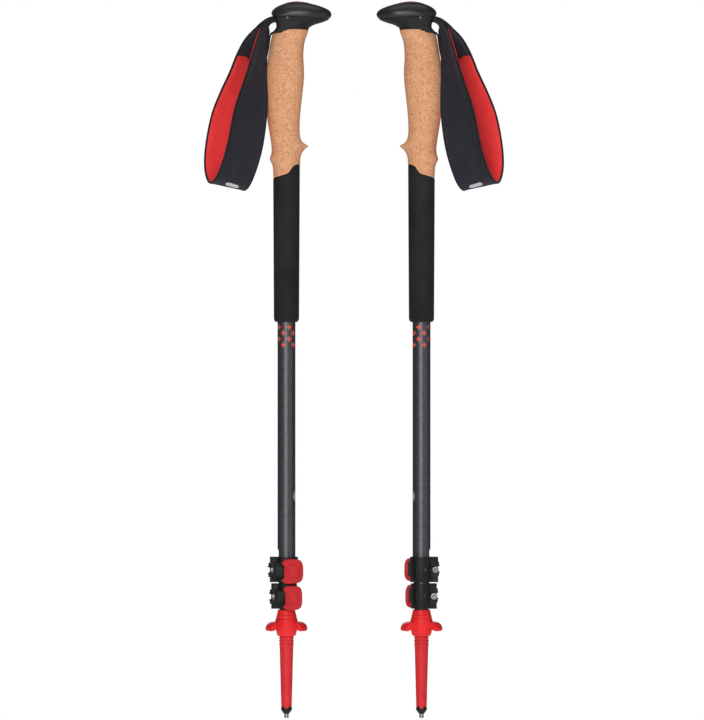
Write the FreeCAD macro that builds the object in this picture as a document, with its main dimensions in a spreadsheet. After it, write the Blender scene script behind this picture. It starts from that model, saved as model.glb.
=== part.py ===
"""A pair of three-section trekking poles with cork grips, collapsed.

Millimetres. Each pole stands along Z with its origin in the middle of the palm, its nose
toward +X and its wrist strap toward -X. The right pole is the same pole turned half a turn
about Z and moved along +X; its strap is the mirror image of the left one.
"""
import FreeCAD
import Part
import Sketcher
import math
import os

Z_AXIS = FreeCAD.Vector(0, 0, 1)
SIDES = ("left", "right")
PAST = 25.0  # every cutter reaches this far from the pole's axis, past any piece

SIZES = {
    # the pair
    "pole_spacing": 121.0,
    # telescopic tubes
    "upper_radius": 8.0,
    "middle_radius": 7.0,
    "lower_radius": 6.0,
    "tube_wall": 0.7,
    "upper_tube_top": 50.0,
    "middle_tube_top": 20.0,
    "lower_tube_top": -10.0,
    "tube_end_inset": 1.3,
    "relief_radius": 4.5,
    "relief_rise": 3.2,
    "relief_slit": 2.0,
    # guide bushes at the top of the sliding tubes
    "bush_cap": 10.0,
    "bush_spigot": 18.0,
    "bush_bore": 3.0,
    "running_gap": 0.05,
    # clamps
    "clamp_top": -409.4,
    "clamp_pitch": 23.85,
    "collar_height": 22.3,
    "collar_lip": 1.3,
    "free_gap": 0.3,
    "ear_gap": 1.6,
    "pivot_y": -10.5,
    "cam_radius": 4.2,
    "cam_height": 12.6,
    "cam_bulge_height": 7.0,
    "barrel_radius": 2.5,
    "bolt_radius": 2.0,
    "bolt_head_radius": 2.85,
    "bolt_head_height": 3.2,
    "bolt_slot": 4.8,
    "bolt_past_pivot": 0.9,
    "lever_thickness": 2.2,
    "lever_face_y": -13.3,
    "cover_thickness": 2.6,
    "cover_height": 22.2,
    "cover_drop": 1.35,
    "cover_corner": 4.5,
    # grip
    "core_radius": 10.0,
    "core_top": 58.0,
    "core_bottom": -54.0,
    "cork_top": 62.5,
    "cork_step": 59.6,
    "cork_step_x": -2.0,
    "foam_bottom": -199.0,
    "foam_top_radius": 12.05,
    "foam_bottom_radius": 11.2,
    "foam_edge": 3.0,
    # head
    "dome_x": 13.4,
    "dome_level": 77.3,
    "dome_half_length": 26.7,
    "dome_half_height": 11.0,
    "dome_half_width": 14.5,
    "inlay_half_length": 13.0,
    "inlay_half_width": 5.0,
    "inlay_floor": 86.4,
    "slot_floor": 68.6,
    "slot_roof": 75.6,
    "slot_half_width": 10.6,
    "slot_front": 9.0,
    "pin_x": 1.1,
    "pin_level": 72.7,
    "pin_radius": 1.5,
    "pin_half_length": 13.6,
    # wrist strap
    "strap_hinge_x": -12.2,
    "strap_hinge_level": 72.8,
    "channel_front": -6.2,
    "webbing_half_thickness": 2.2,
    "webbing_half_width": 9.5,
    "tail_offset": 4.0,
    "tail_half_width": 6.0,
    "tail_thickness": 1.4,
    "band_thickness": 2.0,
    "lining_thickness": 1.4,
    "lining_inset": 1.5,
    "glue_gap": 0.1,
    # tip
    "swage_level": -456.4,
    "swage_radius": 5.2,
    "swage_bottom": -490.0,
    "tip_socket_radius": 6.45,
    "tip_bottom_radius": 4.7,
    "tip_bottom": -543.0,
    "tip_neck_radius": 4.1,
    "tip_neck_bottom": -547.0,
    "ridge_pitch": 2.9,
    "ridge_radius": 6.55,
    "basket_bore": 6.9,
    "basket_top": -456.6,
    "basket_top_radius": 7.7,
    "basket_waist": -467.4,
    "basket_waist_radius": 10.2,
    "basket_bottom": -480.3,
    "basket_bottom_radius": 7.7,
    "wing_radius": 18.8,
    "wing_angle": 110.0,
    "crown_radius": 4.95,
    "crown_tooth": 2.6,
    "collar_tip_bottom": -549.8,
    "carbide_radius": 2.0,
    "shank_radius": 1.5,
    "carbide_top": -550.1,
    "carbide_bottom": -553.6,
}

doc = FreeCAD.newDocument("TrekkingPoles")
parts = {}


class Dim:
    """A number together with the spreadsheet expression that gives it."""

    def __init__(self, value, text):
        self.value = value
        self.text = text

    def __add__(self, other):
        other = dim(other)
        return Dim(self.value + other.value, f"({self.text} + {other.text})")

    def __sub__(self, other):
        other = dim(other)
        return Dim(self.value - other.value, f"({self.text} - {other.text})")

    def __rsub__(self, other):
        return dim(other) - self

    def __mul__(self, other):
        other = dim(other)
        return Dim(self.value * other.value, f"({self.text} * {other.text})")

    def __truediv__(self, other):
        other = dim(other)
        return Dim(self.value / other.value, f"({self.text} / {other.text})")

    def __neg__(self):
        return Dim(-self.value, f"(-{self.text})")

    __radd__ = __add__
    __rmul__ = __mul__


def dim(value):
    if isinstance(value, Dim):
        return value
    return Dim(float(value), f"({float(value)})")


class Sizes:
    """The driving dimensions, read by name."""

    def __getattr__(self, name):
        return Dim(SIZES[name], f"Sizes.{name}")


S = Sizes()


def fill_sheet():
    sheet = doc.addObject("Spreadsheet::Sheet", "Sizes")
    for row, (name, value) in enumerate(SIZES.items(), start=1):
        sheet.set(f"A{row}", name)
        sheet.set(f"B{row}", str(value))
        sheet.setAlias(f"B{row}", name)
    doc.recompute()


# ---- building blocks -------------------------------------------------------------------


def bind(thing, prop, value):
    thing.setExpression(prop, dim(value).text)


def move(thing, x=0, y=0, z=0):
    bind(thing, "Placement.Base.x", x)
    bind(thing, "Placement.Base.y", y)
    bind(thing, "Placement.Base.z", z)


def box(name, x, y, z):
    """A block between the (low, high) pairs x, y and z."""
    block = doc.addObject("Part::Box", name)
    for prop, (low, high) in (("Length", x), ("Width", y), ("Height", z)):
        bind(block, prop, dim(high) - low)
    move(block, x[0], y[0], z[0])
    return block


def cylinder(name, radius, bottom, top, x=0, y=0, start=0, sweep=360):
    """An upright cylinder, or the sector of one that starts at an angle and sweeps on."""
    rod = doc.addObject("Part::Cylinder", name)
    bind(rod, "Radius", radius)
    bind(rod, "Height", dim(top) - bottom)
    rod.Angle = sweep
    rod.Placement.Rotation = FreeCAD.Rotation(Z_AXIS, start)
    move(rod, x, y, bottom)
    return rod


def rod_along_y(name, radius, front, rear, x, z):
    rod = doc.addObject("Part::Cylinder", name)
    bind(rod, "Radius", radius)
    bind(rod, "Height", dim(rear) - front)
    rod.Placement.Rotation = FreeCAD.Rotation(FreeCAD.Vector(1, 0, 0), -90)
    move(rod, x, front, z)
    return rod


def rod_along_x(name, radius, low, high, y, z):
    rod = doc.addObject("Part::Cylinder", name)
    bind(rod, "Radius", radius)
    bind(rod, "Height", dim(high) - low)
    rod.Placement.Rotation = FreeCAD.Rotation(FreeCAD.Vector(0, 1, 0), 90)
    move(rod, low, y, z)
    return rod


def cut(name, base, tool):
    result = doc.addObject("Part::Cut", name)
    result.Base = base
    result.Tool = tool
    return result


def common(name, base, tool):
    result = doc.addObject("Part::Common", name)
    result.Base = base
    result.Tool = tool
    return result


def fuse(name, shapes):
    result = doc.addObject("Part::MultiFuse", name)
    result.Shapes = shapes
    result.Refine = True
    return result


def oval(name, level, rear, front, half_width):
    """A level oval from rear to front along X, twice half_width across."""
    section = doc.addObject("Part::Ellipse", name)
    bind(section, "MajorRadius", (dim(front) - rear) / 2)
    bind(section, "MinorRadius", half_width)
    move(section, (dim(front) + rear) / 2, 0, level)
    return section


def loft(name, ovals, ruled=False):
    """A solid through ovals given as (level, rear, front, half_width)."""
    result = doc.addObject("Part::Loft", name)
    result.Sections = [oval(f"{name}_oval_{i}", *row) for i, row in enumerate(ovals)]
    result.Solid = True
    result.Ruled = ruled
    return result


def sketch(body, name, role):
    """A sketch on one of the body's own origin planes."""
    drawing = body.newObject("Sketcher::SketchObject", name)
    plane = next(f for f in body.Origin.OriginFeatures if f.Role == role)
    drawing.AttachmentSupport = [(plane, "")]
    drawing.MapMode = "FlatFace"
    return drawing


def draw_outline(drawing, points):
    """Close straight edges through points, each held by two dimensions from the origin."""
    points = [(dim(a), dim(b)) for a, b in points]
    corners = [FreeCAD.Vector(a.value, b.value, 0) for a, b in points]
    first = drawing.GeometryCount
    count = len(corners)
    for i in range(count):
        drawing.addGeometry(Part.LineSegment(corners[i], corners[(i + 1) % count]), False)
    for i in range(count):
        following = first + (i + 1) % count
        drawing.addConstraint(Sketcher.Constraint("Coincident", first + i, 2, following, 1))
    for i, pair in enumerate(points):
        for kind, size in zip(("DistanceX", "DistanceY"), pair):
            held = Sketcher.Constraint(kind, -1, 1, first + i, 1, size.value)
            index = drawing.addConstraint(held)
            drawing.setExpression(f"Constraints[{index}]", size.text)


def draw_circle(drawing, x, y, radius):
    centre = FreeCAD.Vector(dim(x).value, dim(y).value, 0)
    circle = drawing.addGeometry(Part.Circle(centre, Z_AXIS, dim(radius).value), False)
    held = (
        (Sketcher.Constraint("DistanceX", -1, 1, circle, 3, centre.x), x),
        (Sketcher.Constraint("DistanceY", -1, 1, circle, 3, centre.y), y),
        (Sketcher.Constraint("Radius", circle, dim(radius).value), radius),
    )
    for constraint, size in held:
        index = drawing.addConstraint(constraint)
        drawing.setExpression(f"Constraints[{index}]", dim(size).text)


def new_body(name):
    return doc.addObject("PartDesign::Body", name)


def revolve(body, name, points, sweep=360.0):
    """Turn an outline of (radius, level) points about the pole's axis."""
    drawing = sketch(body, f"{name}_outline", "XZ_Plane")
    draw_outline(drawing, points)
    turned = body.newObject("PartDesign::Revolution", name)
    turned.Profile = (drawing, [""])
    turned.ReferenceAxis = (drawing, ["V_Axis"])
    turned.Midplane = True
    bind(turned, "Angle", sweep)
    return turned


def turned_body(name, points):
    body = new_body(name)
    revolve(body, f"{name}_turned", points)
    return body


def side_prism(name, points, low, high):
    """A side-view outline of (x, level) points, padded from y = low to y = high."""
    body = new_body(name)
    drawing = sketch(body, f"{name}_outline", "XZ_Plane")
    draw_outline(drawing, points)
    pad = body.newObject("PartDesign::Pad", f"{name}_pad")
    pad.Profile = (drawing, [""])
    bind(pad, "Length", dim(high) - low)
    bind(drawing, "AttachmentOffset.Base.z", -dim(high))
    return body


def tube_outline(outer, inner, bottom, top):
    return [(inner, bottom), (outer, bottom), (outer, top), (inner, top)]


def keep(piece, side, node):
    """Give a finished piece its node's name and stand it on its own pole."""
    label = f"{side}_{node}"
    piece.Label = label
    if side == "right":
        piece.Placement.Rotation = FreeCAD.Rotation(Z_AXIS, 180)
        bind(piece, "Placement.Base.x", S.pole_spacing)
    parts[label] = piece


# ---- grip --------------------------------------------------------------------------------

CORK_OVALS = (
    # level, rear, front, half width
    (62.5, -12.8, 19.6, 13.0),
    (52.0, -14.4, 16.4, 12.8),
    (36.0, -16.9, 15.2, 13.8),
    (20.0, -19.0, 15.7, 14.4),
    (-2.0, -18.3, 13.6, 13.6),
    (-22.0, -16.6, 12.0, 12.6),
    (-36.0, -14.4, 12.8, 12.4),
    (-48.0, -13.9, 13.2, 12.6),
    (-60.0, -12.5, 12.4, 12.1),
    (-72.0, -12.05, 12.05, 12.0),
)
FINGER_STOP_OVALS = (
    (-31.0, -9.0, 11.0, 7.0),
    (-37.5, -9.0, 15.0, 9.0),
    (-41.0, -9.0, 19.6, 10.5),
    (-48.5, -9.0, 11.5, 8.0),
)
HEEL_STOP_OVALS = (
    (-46.5, -12.0, 8.0, 8.0),
    (-53.0, -15.3, 8.0, 9.0),
    (-60.0, -11.5, 8.0, 8.0),
)
NECK_OVALS = (
    (62.5, -9.0, 19.6, 12.9),
    (67.5, -9.6, 24.0, 12.9),
    (72.5, -11.0, 30.0, 13.2),
    (77.0, -11.0, 31.0, 13.2),
)


# the slanted line between cork and foam, and round below the foam
GRIP_SPLIT = (
    (-PAST, -72.8),
    (0.9, -66.4),
    (5.5, -60),
    (PAST, -55.4),
    (PAST, -210),
    (-PAST, -210),
)


def make_grip(side):
    core = turned_body(
        f"{side}_core",
        tube_outline(S.core_radius, S.upper_radius, S.core_bottom, S.core_top),
    )
    keep(core, side, "grip_core")

    whole = fuse(
        f"{side}_cork_whole",
        [
            loft(f"{side}_cork_loft", CORK_OVALS),
            loft(f"{side}_finger_stop", FINGER_STOP_OVALS, ruled=True),
            loft(f"{side}_heel_stop", HEEL_STOP_OVALS, ruled=True),
        ],
    )
    split = side_prism(
        f"{side}_grip_split",
        GRIP_SPLIT,
        -PAST,
        PAST,
    )
    step = box(
        f"{side}_cork_step",
        (-PAST, S.cork_step_x),
        (-PAST, PAST),
        (S.cork_step, S.cork_top + 1),
    )
    wide_bore = cylinder(f"{side}_cork_bore", S.core_radius, S.core_bottom, S.core_top)
    narrow_bore = cylinder(f"{side}_cork_bore_below", S.upper_radius, -80, S.core_bottom)
    tools = fuse(f"{side}_cork_tools", [split, step, wide_bore, narrow_bore])
    keep(cut(f"{side}_cork", whole, tools), side, "cork_grip")

    foam_blank = turned_body(
        f"{side}_foam_blank",
        [
            (S.upper_radius, S.foam_bottom),
            (S.foam_bottom_radius - S.foam_edge / 2, S.foam_bottom),
            (S.foam_bottom_radius, S.foam_bottom + S.foam_edge),
            (S.foam_top_radius, -55),
            (S.upper_radius, -55),
        ],
    )
    lower_part = side_prism(
        f"{side}_foam_split",
        GRIP_SPLIT,
        -PAST,
        PAST,
    )
    keep(common(f"{side}_foam", foam_blank, lower_part), side, "foam_sleeve")


def make_head(side):
    dome = doc.addObject("Part::Ellipsoid", f"{side}_dome")
    bind(dome, "Radius1", S.dome_half_height)
    bind(dome, "Radius2", S.dome_half_length)
    bind(dome, "Radius3", S.dome_half_width)
    move(dome, S.dome_x, 0, S.dome_level)
    neck = loft(f"{side}_neck", NECK_OVALS, ruled=True)
    lug_oval = loft(f"{side}_lug_loft", CORK_OVALS[:2], ruled=True)
    lug_box = box(
        f"{side}_lug_box", (-PAST, S.cork_step_x), (-PAST, PAST), (S.cork_step, S.cork_top)
    )
    lug = common(f"{side}_lug", lug_oval, lug_box)
    blank = fuse(f"{side}_head_blank", [dome, neck, lug])
    half = S.slot_half_width
    slot = box(f"{side}_slot", (-PAST, S.slot_front), (-half, half), (S.slot_floor, S.slot_roof))
    tail_half = S.tail_half_width + S.free_gap
    tail_y = tail_shift(side)
    tail_span = (tail_y - tail_half, tail_y + tail_half)
    tail_slot = box(
        f"{side}_tail_slot", (-PAST, S.channel_front), tail_span, (S.cork_step, S.cork_top)
    )
    channel = box(
        f"{side}_channel",
        (S.channel_front - S.tail_thickness, S.channel_front),
        tail_span,
        (S.cork_step, S.slot_floor + 1),
    )
    pin_hole = rod_along_y(
        f"{side}_pin_hole", S.pin_radius, -PAST, PAST, S.pin_x, S.pin_level
    )
    inlay_bed = oval_disc(f"{side}_inlay_bed")
    tools = fuse(f"{side}_head_tools", [slot, tail_slot, channel, pin_hole, inlay_bed])
    keep(cut(f"{side}_head", blank, tools), side, "grip_head")

    inlay_dome = doc.addObject("Part::Ellipsoid", f"{side}_inlay_dome")
    bind(inlay_dome, "Radius1", S.dome_half_height)
    bind(inlay_dome, "Radius2", S.dome_half_length)
    bind(inlay_dome, "Radius3", S.dome_half_width)
    move(inlay_dome, S.dome_x, 0, S.dome_level)
    inlay_plug = oval_disc(f"{side}_inlay_plug")
    keep(common(f"{side}_inlay", inlay_dome, inlay_plug), side, "head_inlay")

    pin = new_body(f"{side}_pin")
    end = sketch(pin, f"{side}_pin_end", "XZ_Plane")
    draw_circle(end, S.pin_x, S.pin_level, S.pin_radius)
    length = pin.newObject("PartDesign::Pad", f"{side}_pin_length")
    length.Profile = (end, [""])
    length.Midplane = True
    bind(length, "Length", S.pin_half_length * 2)
    keep(pin, side, "strap_pin")


def oval_disc(name):
    """The upright oval plug of the top inlay, from its floor to above the head."""
    x = S.dome_x - 4
    rows = [
        (level, x - S.inlay_half_length, x + S.inlay_half_length, S.inlay_half_width)
        for level in (S.inlay_floor, S.dome_level + 20)
    ]
    return loft(name, rows, ruled=True)


# ---- wrist strap -------------------------------------------------------------------------

# centre x, y and level of the band, half of its width, and the angle of its width from X
STRAP_ROUTE = (
    (-21.4, -2.6, 64.5, 8.5, 88),
    (-23.6, -9.2, 54.0, 9.5, 66),
    (-25.0, -14.0, 40.0, 10.5, 56),
    (-26.6, -17.6, 23.0, 13.5, 52),
    (-29.2, -21.2, 4.0, 16.0, 40),
    (-32.8, -23.6, -16.0, 17.0, 28),
    (-36.6, -23.2, -40.0, 17.0, 24),
    (-41.2, -18.4, -58.0, 17.0, 24),
    (-46.2, -10.2, -71.0, 17.0, 24),
    (-51.4, 0.0, -76.2, 17.0, 24),
    (-55.6, 10.2, -71.8, 17.0, 24),
    (-58.6, 18.4, -59.0, 17.0, 24),
    (-57.4, 23.2, -40.0, 17.0, 24),
    (-53.0, 23.6, -16.0, 17.0, 28),
    (-47.6, 21.2, 4.0, 16.0, 34),
    (-42.2, 17.5, 23.0, 13.5, 38),
    (-38.0, 13.4, 40.0, 10.5, 46),
    (-32.0, 8.6, 54.5, 9.5, 64),
    (-24.0, 3.4, 65.0, 8.5, 86),
)
LINING_STATIONS = slice(2, 17)
STRAP_SLOPE = -0.2


def strap_sections(hand, inner, outer, inset):
    """The four corners of the band at each station, from inner to outer along its normal."""
    centres = [FreeCAD.Vector(x, hand * y, z) for x, y, z, _, _ in STRAP_ROUTE]
    sections = []
    for i, (_, _, _, half_width, angle) in enumerate(STRAP_ROUTE):
        if i == 0:
            along = -Z_AXIS
        elif i == len(centres) - 1:
            along = Z_AXIS
        else:
            along = (centres[i + 1] - centres[i - 1]).normalize()
        turn = math.radians(angle)
        tilt = STRAP_SLOPE * math.cos(turn)
        across = FreeCAD.Vector(math.cos(turn), hand * math.sin(turn), tilt)
        across = (across - along * across.dot(along)).normalize()
        normal = along.cross(across) * hand
        reach = across * (half_width - inset)
        corners = [
            centres[i] + reach + normal * inner,
            centres[i] + reach + normal * outer,
            centres[i] - reach + normal * outer,
            centres[i] - reach + normal * inner,
        ]
        sections.append(corners)
    return sections


def triangle(a, b, c):
    return Part.Face(Part.makePolygon([a, b, c, a]))


def faceted_solid(sections):
    """A closed solid through four-cornered sections, in flat triangles because it twists."""
    faces = []
    for near, far in zip(sections, sections[1:]):
        for a, b in ((3, 0), (2, 1), (0, 1), (3, 2)):
            faces.append(triangle(near[a], near[b], far[b]))
            faces.append(triangle(near[a], far[b], far[a]))
    for end in (sections[0], sections[-1]):
        faces.append(triangle(end[0], end[1], end[2]))
        faces.append(triangle(end[0], end[2], end[3]))
    solid = Part.Solid(Part.Shell(faces))
    if solid.Volume < 0:
        solid.reverse()
    return solid


def strap_layer(side, node, stations, inner, outer, inset):
    hand = 1 if side == "left" else -1
    layer = doc.addObject("Part::Feature", f"{side}_{node}_layer")
    sections = strap_sections(hand, inner.value, outer.value, dim(inset).value)
    layer.Shape = faceted_solid(sections[stations])
    keep(layer, side, node)


def tail_shift(side):
    return S.tail_offset if side == "left" else -S.tail_offset


def make_strap(side):
    strap_layer(side, "strap_band", slice(None), S.glue_gap, S.band_thickness, 0)
    lining = -S.lining_thickness
    strap_layer(side, "strap_lining", LINING_STATIONS, lining, -S.glue_gap, S.lining_inset)

    half = S.webbing_half_width
    hinge_x = S.strap_hinge_x
    level = S.strap_hinge_level
    thick = S.webbing_half_thickness
    knuckle = rod_along_y(f"{side}_knuckle", thick, -half, half, hinge_x, level)
    leaf = side_prism(
        f"{side}_leaf",
        [
            (hinge_x - 0.9, level + 2.0),
            (hinge_x - 7.4, level - 2.6),
            (hinge_x - 13.2, level - 6.2),
            (hinge_x - 7.4, level - 6.2),
            (hinge_x + 0.9, level - 2.0),
        ],
        -half,
        half,
    )
    keep(fuse(f"{side}_webbing", [knuckle, leaf]), side, "strap_webbing")

    root_block = box(
        f"{side}_root_block",
        (hinge_x + thick + S.free_gap, S.pin_x + 3.2),
        (-half, half),
        (level - thick, level + thick),
    )
    pin_hole = rod_along_y(f"{side}_root_hole", S.pin_radius, -PAST, PAST, S.pin_x, S.pin_level)
    y = tail_shift(side)
    tail_span = (y - S.tail_half_width, y + S.tail_half_width)
    thickness = S.tail_thickness
    down = box(
        f"{side}_root_down",
        (S.channel_front - thickness, S.channel_front),
        tail_span,
        (S.cork_step + 0.4, level),
    )
    tail = make_tail(side, tail_span)
    webbing = fuse(f"{side}_root_whole", [root_block, down, tail])
    keep(cut(f"{side}_root", webbing, pin_hole), side, "strap_root")

    wedge = side_prism(
        f"{side}_wedge",
        [
            (-6, S.slot_floor),
            (S.slot_front, S.slot_floor),
            (S.slot_front, S.slot_roof - 0.2),
            (S.pin_x + 3.4, S.slot_roof - 0.2),
            (S.pin_x + 3.4, S.slot_floor + 1.8),
            (-6, S.slot_floor + 1.2),
        ],
        -half,
        half,
    )
    keep(wedge, side, "strap_wedge")


def make_tail(side, span):
    """The end of the webbing: out of the lower slot and down the back of the grip."""
    thickness = S.tail_thickness
    exit_level = S.cork_step + 0.4
    return side_prism(
        f"{side}_tail",
        [
            (S.channel_front, exit_level),
            (-13.6, exit_level),
            (-14.9, 56.5),
            (-17.5, 38.5),
            (dim(-17.5) - thickness, 38.5),
            (dim(-14.9) - thickness, 57.3),
            (dim(-13.6) - thickness, exit_level + thickness),
            (S.channel_front, exit_level + thickness),
        ],
        *span,
    )


# ---- telescopic tubes --------------------------------------------------------------------


def collar_bottom(stage):
    return S.clamp_top - S.clamp_pitch * stage - S.collar_height


def make_tubes(side):
    wall = S.tube_wall
    upper_end = collar_bottom(0) + S.tube_end_inset
    upper = turned_body(
        f"{side}_upper_plain",
        tube_outline(S.upper_radius, S.upper_radius - wall, upper_end, S.upper_tube_top),
    )
    relief_level = S.clamp_top + S.relief_rise
    relief = rod_along_x(f"{side}_relief", S.relief_radius, -20, 0, 0, relief_level)
    slit_half = S.relief_slit / 2
    slit = box(f"{side}_slit", (-20, 0), (-slit_half, slit_half), (upper_end - 5, relief_level))
    opened = cut(f"{side}_upper", upper, fuse(f"{side}_relief_cut", [relief, slit]))
    keep(opened, side, "upper_tube")

    middle = turned_body(
        f"{side}_middle",
        tube_outline(
            S.middle_radius,
            S.middle_radius - wall,
            collar_bottom(1) + S.tube_end_inset,
            S.middle_tube_top,
        ),
    )
    keep(middle, side, "middle_tube")

    swaged = turned_body(
        f"{side}_lower",
        [
            (S.swage_radius - wall, S.swage_bottom),
            (S.swage_radius, S.swage_bottom),
            (S.swage_radius, S.swage_level - 1.2),
            (S.lower_radius, S.swage_level),
            (S.lower_radius, S.lower_tube_top),
            (S.lower_radius - wall, S.lower_tube_top),
            (S.lower_radius - wall, S.swage_level),
            (S.swage_radius - wall, S.swage_level - 1.2),
        ],
    )
    keep(swaged, side, "lower_tube")

    make_bush(side, "middle", S.upper_radius, S.middle_radius, S.middle_tube_top)
    make_bush(side, "lower", S.middle_radius, S.lower_radius, S.lower_tube_top)


def make_bush(side, stage, outside_radius, tube_radius, top):
    """A plastic bush: its cap runs in the outer tube and its spigot is the tube's bearing."""
    inside = S.tube_wall + S.running_gap
    body = turned_body(
        f"{side}_{stage}_bush_turned",
        [
            (S.bush_bore, top - S.bush_spigot),
            (tube_radius - inside, top - S.bush_spigot),
            (tube_radius - inside, top),
            (outside_radius - inside, top),
            (outside_radius - inside, top + S.bush_cap),
            (S.bush_bore, top + S.bush_cap),
        ],
    )
    keep(body, side, f"{stage}_bush")


# ---- lever clamps ------------------------------------------------------------------------


class Clamp:
    """One clamp: stage 0 holds the middle tube, stage 1 the lower tube."""

    def __init__(self, stage, tube_radius, inner_radius, ring_radius, pivot_x, cover_x):
        self.name = ("upper", "lower")[stage]
        self.tube_radius = tube_radius
        self.inner_radius = inner_radius
        self.ring_radius = ring_radius
        self.pivot_x = pivot_x
        self.pivot_y = S.pivot_y + (0.8 if stage else 0)
        self.face_y = S.lever_face_y + (0.8 if stage else 0)
        self.cover_x = cover_x
        self.ear_depth = -self.pivot_y - S.cam_radius - S.free_gap
        self.bottom = collar_bottom(stage)
        self.top = self.bottom + S.collar_height
        self.middle = self.bottom + S.collar_height / 2


CLAMPS = (
    Clamp(0, S.upper_radius, S.middle_radius, 10.3, -12.4, (-4.2, 15.2)),
    Clamp(1, S.middle_radius, S.lower_radius, 9.4, -11.2, (-3.0, 14.3)),
)


def make_collar(side, clamp):
    tag = f"{side}_{clamp.name}_collar"
    ring = cylinder(f"{tag}_ring", clamp.ring_radius, clamp.bottom, clamp.top)
    depth = clamp.ear_depth
    ears = box(f"{tag}_ears", (clamp.pivot_x - 2.4, 0), (-depth, depth), (clamp.bottom, clamp.top))
    blank = fuse(f"{tag}_blank", [ring, ears])
    bore = cylinder(
        f"{tag}_bore", clamp.tube_radius, clamp.bottom + S.collar_lip, clamp.top + 1
    )
    mouth = cylinder(
        f"{tag}_mouth", clamp.inner_radius + S.free_gap, clamp.bottom - 1, clamp.top
    )
    half_gap = S.ear_gap / 2
    gap = box(f"{tag}_gap", (-PAST, -5), (-half_gap, half_gap), (clamp.bottom - 1, clamp.top + 1))
    hole = rod_along_y(
        f"{tag}_hole", S.bolt_radius + S.running_gap, -PAST, PAST, clamp.pivot_x, clamp.middle
    )
    slot_z = (clamp.middle - 1.6, clamp.middle + 1.6)
    recess = box(f"{tag}_recess", (-9.5, -2), (clamp.ear_depth - 1.5, PAST), slot_z)
    window_z = (clamp.middle - 6.3, clamp.middle + 6.3)
    window = box(f"{tag}_window", (4, 6.6), (0, PAST), window_z)
    tools = fuse(f"{tag}_tools", [bore, mouth, gap, hole, recess, window])
    keep(cut(tag, blank, tools), side, f"{clamp.name}_collar")


def make_bolt(side, clamp):
    tag = f"{side}_{clamp.name}_bolt"
    ear = clamp.ear_depth
    head_top = ear + S.bolt_head_height
    shank = rod_along_y(
        f"{tag}_shank", S.bolt_radius, clamp.pivot_y - S.bolt_past_pivot, ear, clamp.pivot_x, clamp.middle
    )
    head = rod_along_y(
        f"{tag}_head", S.bolt_head_radius, ear, head_top, clamp.pivot_x, clamp.middle
    )
    key = doc.addObject("Part::Prism", f"{tag}_key")
    key.Polygon = 6
    bind(key, "Circumradius", 1.5)
    bind(key, "Height", 2)
    key.Placement.Rotation = FreeCAD.Rotation(FreeCAD.Vector(1, 0, 0), -90)
    move(key, clamp.pivot_x, head_top - 1.8, clamp.middle)
    keep(cut(tag, fuse(f"{tag}_blank", [shank, head]), key), side, f"{clamp.name}_bolt")


def make_barrel(side, clamp):
    """The upright barrel nut that the bolt pulls on and the lever turns about."""
    tag = f"{side}_{clamp.name}_barrel"
    half = S.cam_height / 2
    pin = cylinder(
        f"{tag}_pin",
        S.barrel_radius,
        clamp.middle - half,
        clamp.middle + half,
        clamp.pivot_x,
        clamp.pivot_y,
    )
    thread = rod_along_y(
        f"{tag}_thread", S.bolt_radius + S.running_gap, -PAST, 0, clamp.pivot_x, clamp.middle
    )
    keep(cut(tag, pin, thread), side, f"{clamp.name}_barrel")


def make_lever(side, clamp):
    tag = f"{side}_{clamp.name}_lever"
    half = S.cam_height / 2
    low = clamp.middle - half
    high = clamp.middle + half
    bulge = S.cam_bulge_height / 2
    x = clamp.pivot_x
    y = clamp.pivot_y
    cam = cylinder(f"{tag}_cam", S.cam_radius - 0.6, low, high, x, y)
    knuckle = cylinder(
        f"{tag}_knuckle", S.cam_radius, clamp.middle - bulge, clamp.middle + bulge, x, y
    )
    inner_y = clamp.face_y + S.lever_thickness
    plate = box(f"{tag}_plate", (x, clamp.cover_x[1] - 3), (clamp.face_y, inner_y), (low, high))
    web = box(f"{tag}_web", (x, x + 7.0), (inner_y - 0.1, y + 1.2), (low, high))
    blank = fuse(f"{tag}_blank", [cam, knuckle, plate, web])
    bore = cylinder(
        f"{tag}_bore", S.barrel_radius + S.running_gap, low - 1, high + 1, x, y
    )
    sweep = cylinder(
        f"{tag}_sweep",
        S.cam_radius + 3,
        clamp.middle - S.bolt_slot / 2,
        clamp.middle + S.bolt_slot / 2,
        x,
        y,
        start=30,
        sweep=257,
    )
    room = cylinder(
        f"{tag}_room", clamp.ring_radius + S.free_gap, low - 1, high + 1
    )
    tools = fuse(f"{tag}_tools", [bore, sweep, room])
    keep(cut(tag, blank, tools), side, f"{clamp.name}_lever")


def make_cover(side, clamp):
    """The coloured pad on the lever: a rounded square with two notched corners."""
    tag = f"{side}_{clamp.name}_cover"
    body = new_body(f"{tag}_body")
    drawing = sketch(body, f"{tag}_outline", "XZ_Plane")
    left, right = clamp.cover_x
    high = clamp.top - S.cover_drop
    low = high - S.cover_height
    corner = S.cover_corner
    soft = corner / 3
    draw_outline(
        drawing,
        [
            (left + corner, low),
            (right - corner, low),
            (right - soft, low + soft),
            (right, low + corner),
            (right, high - corner),
            (right - soft, high - soft),
            (right - corner, high),
            (left + corner, high),
            (left, high - corner),
            (left + soft, high - corner - soft),
            (left + soft, low + corner + soft),
            (left, low + corner),
        ],
    )
    pad = body.newObject("PartDesign::Pad", f"{tag}_pad")
    pad.Profile = (drawing, [""])
    bind(pad, "Length", S.cover_thickness)
    bind(drawing, "AttachmentOffset.Base.z", -clamp.face_y)
    keep(body, side, f"{clamp.name}_lever_cover")


# ---- tip ---------------------------------------------------------------------------------


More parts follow.
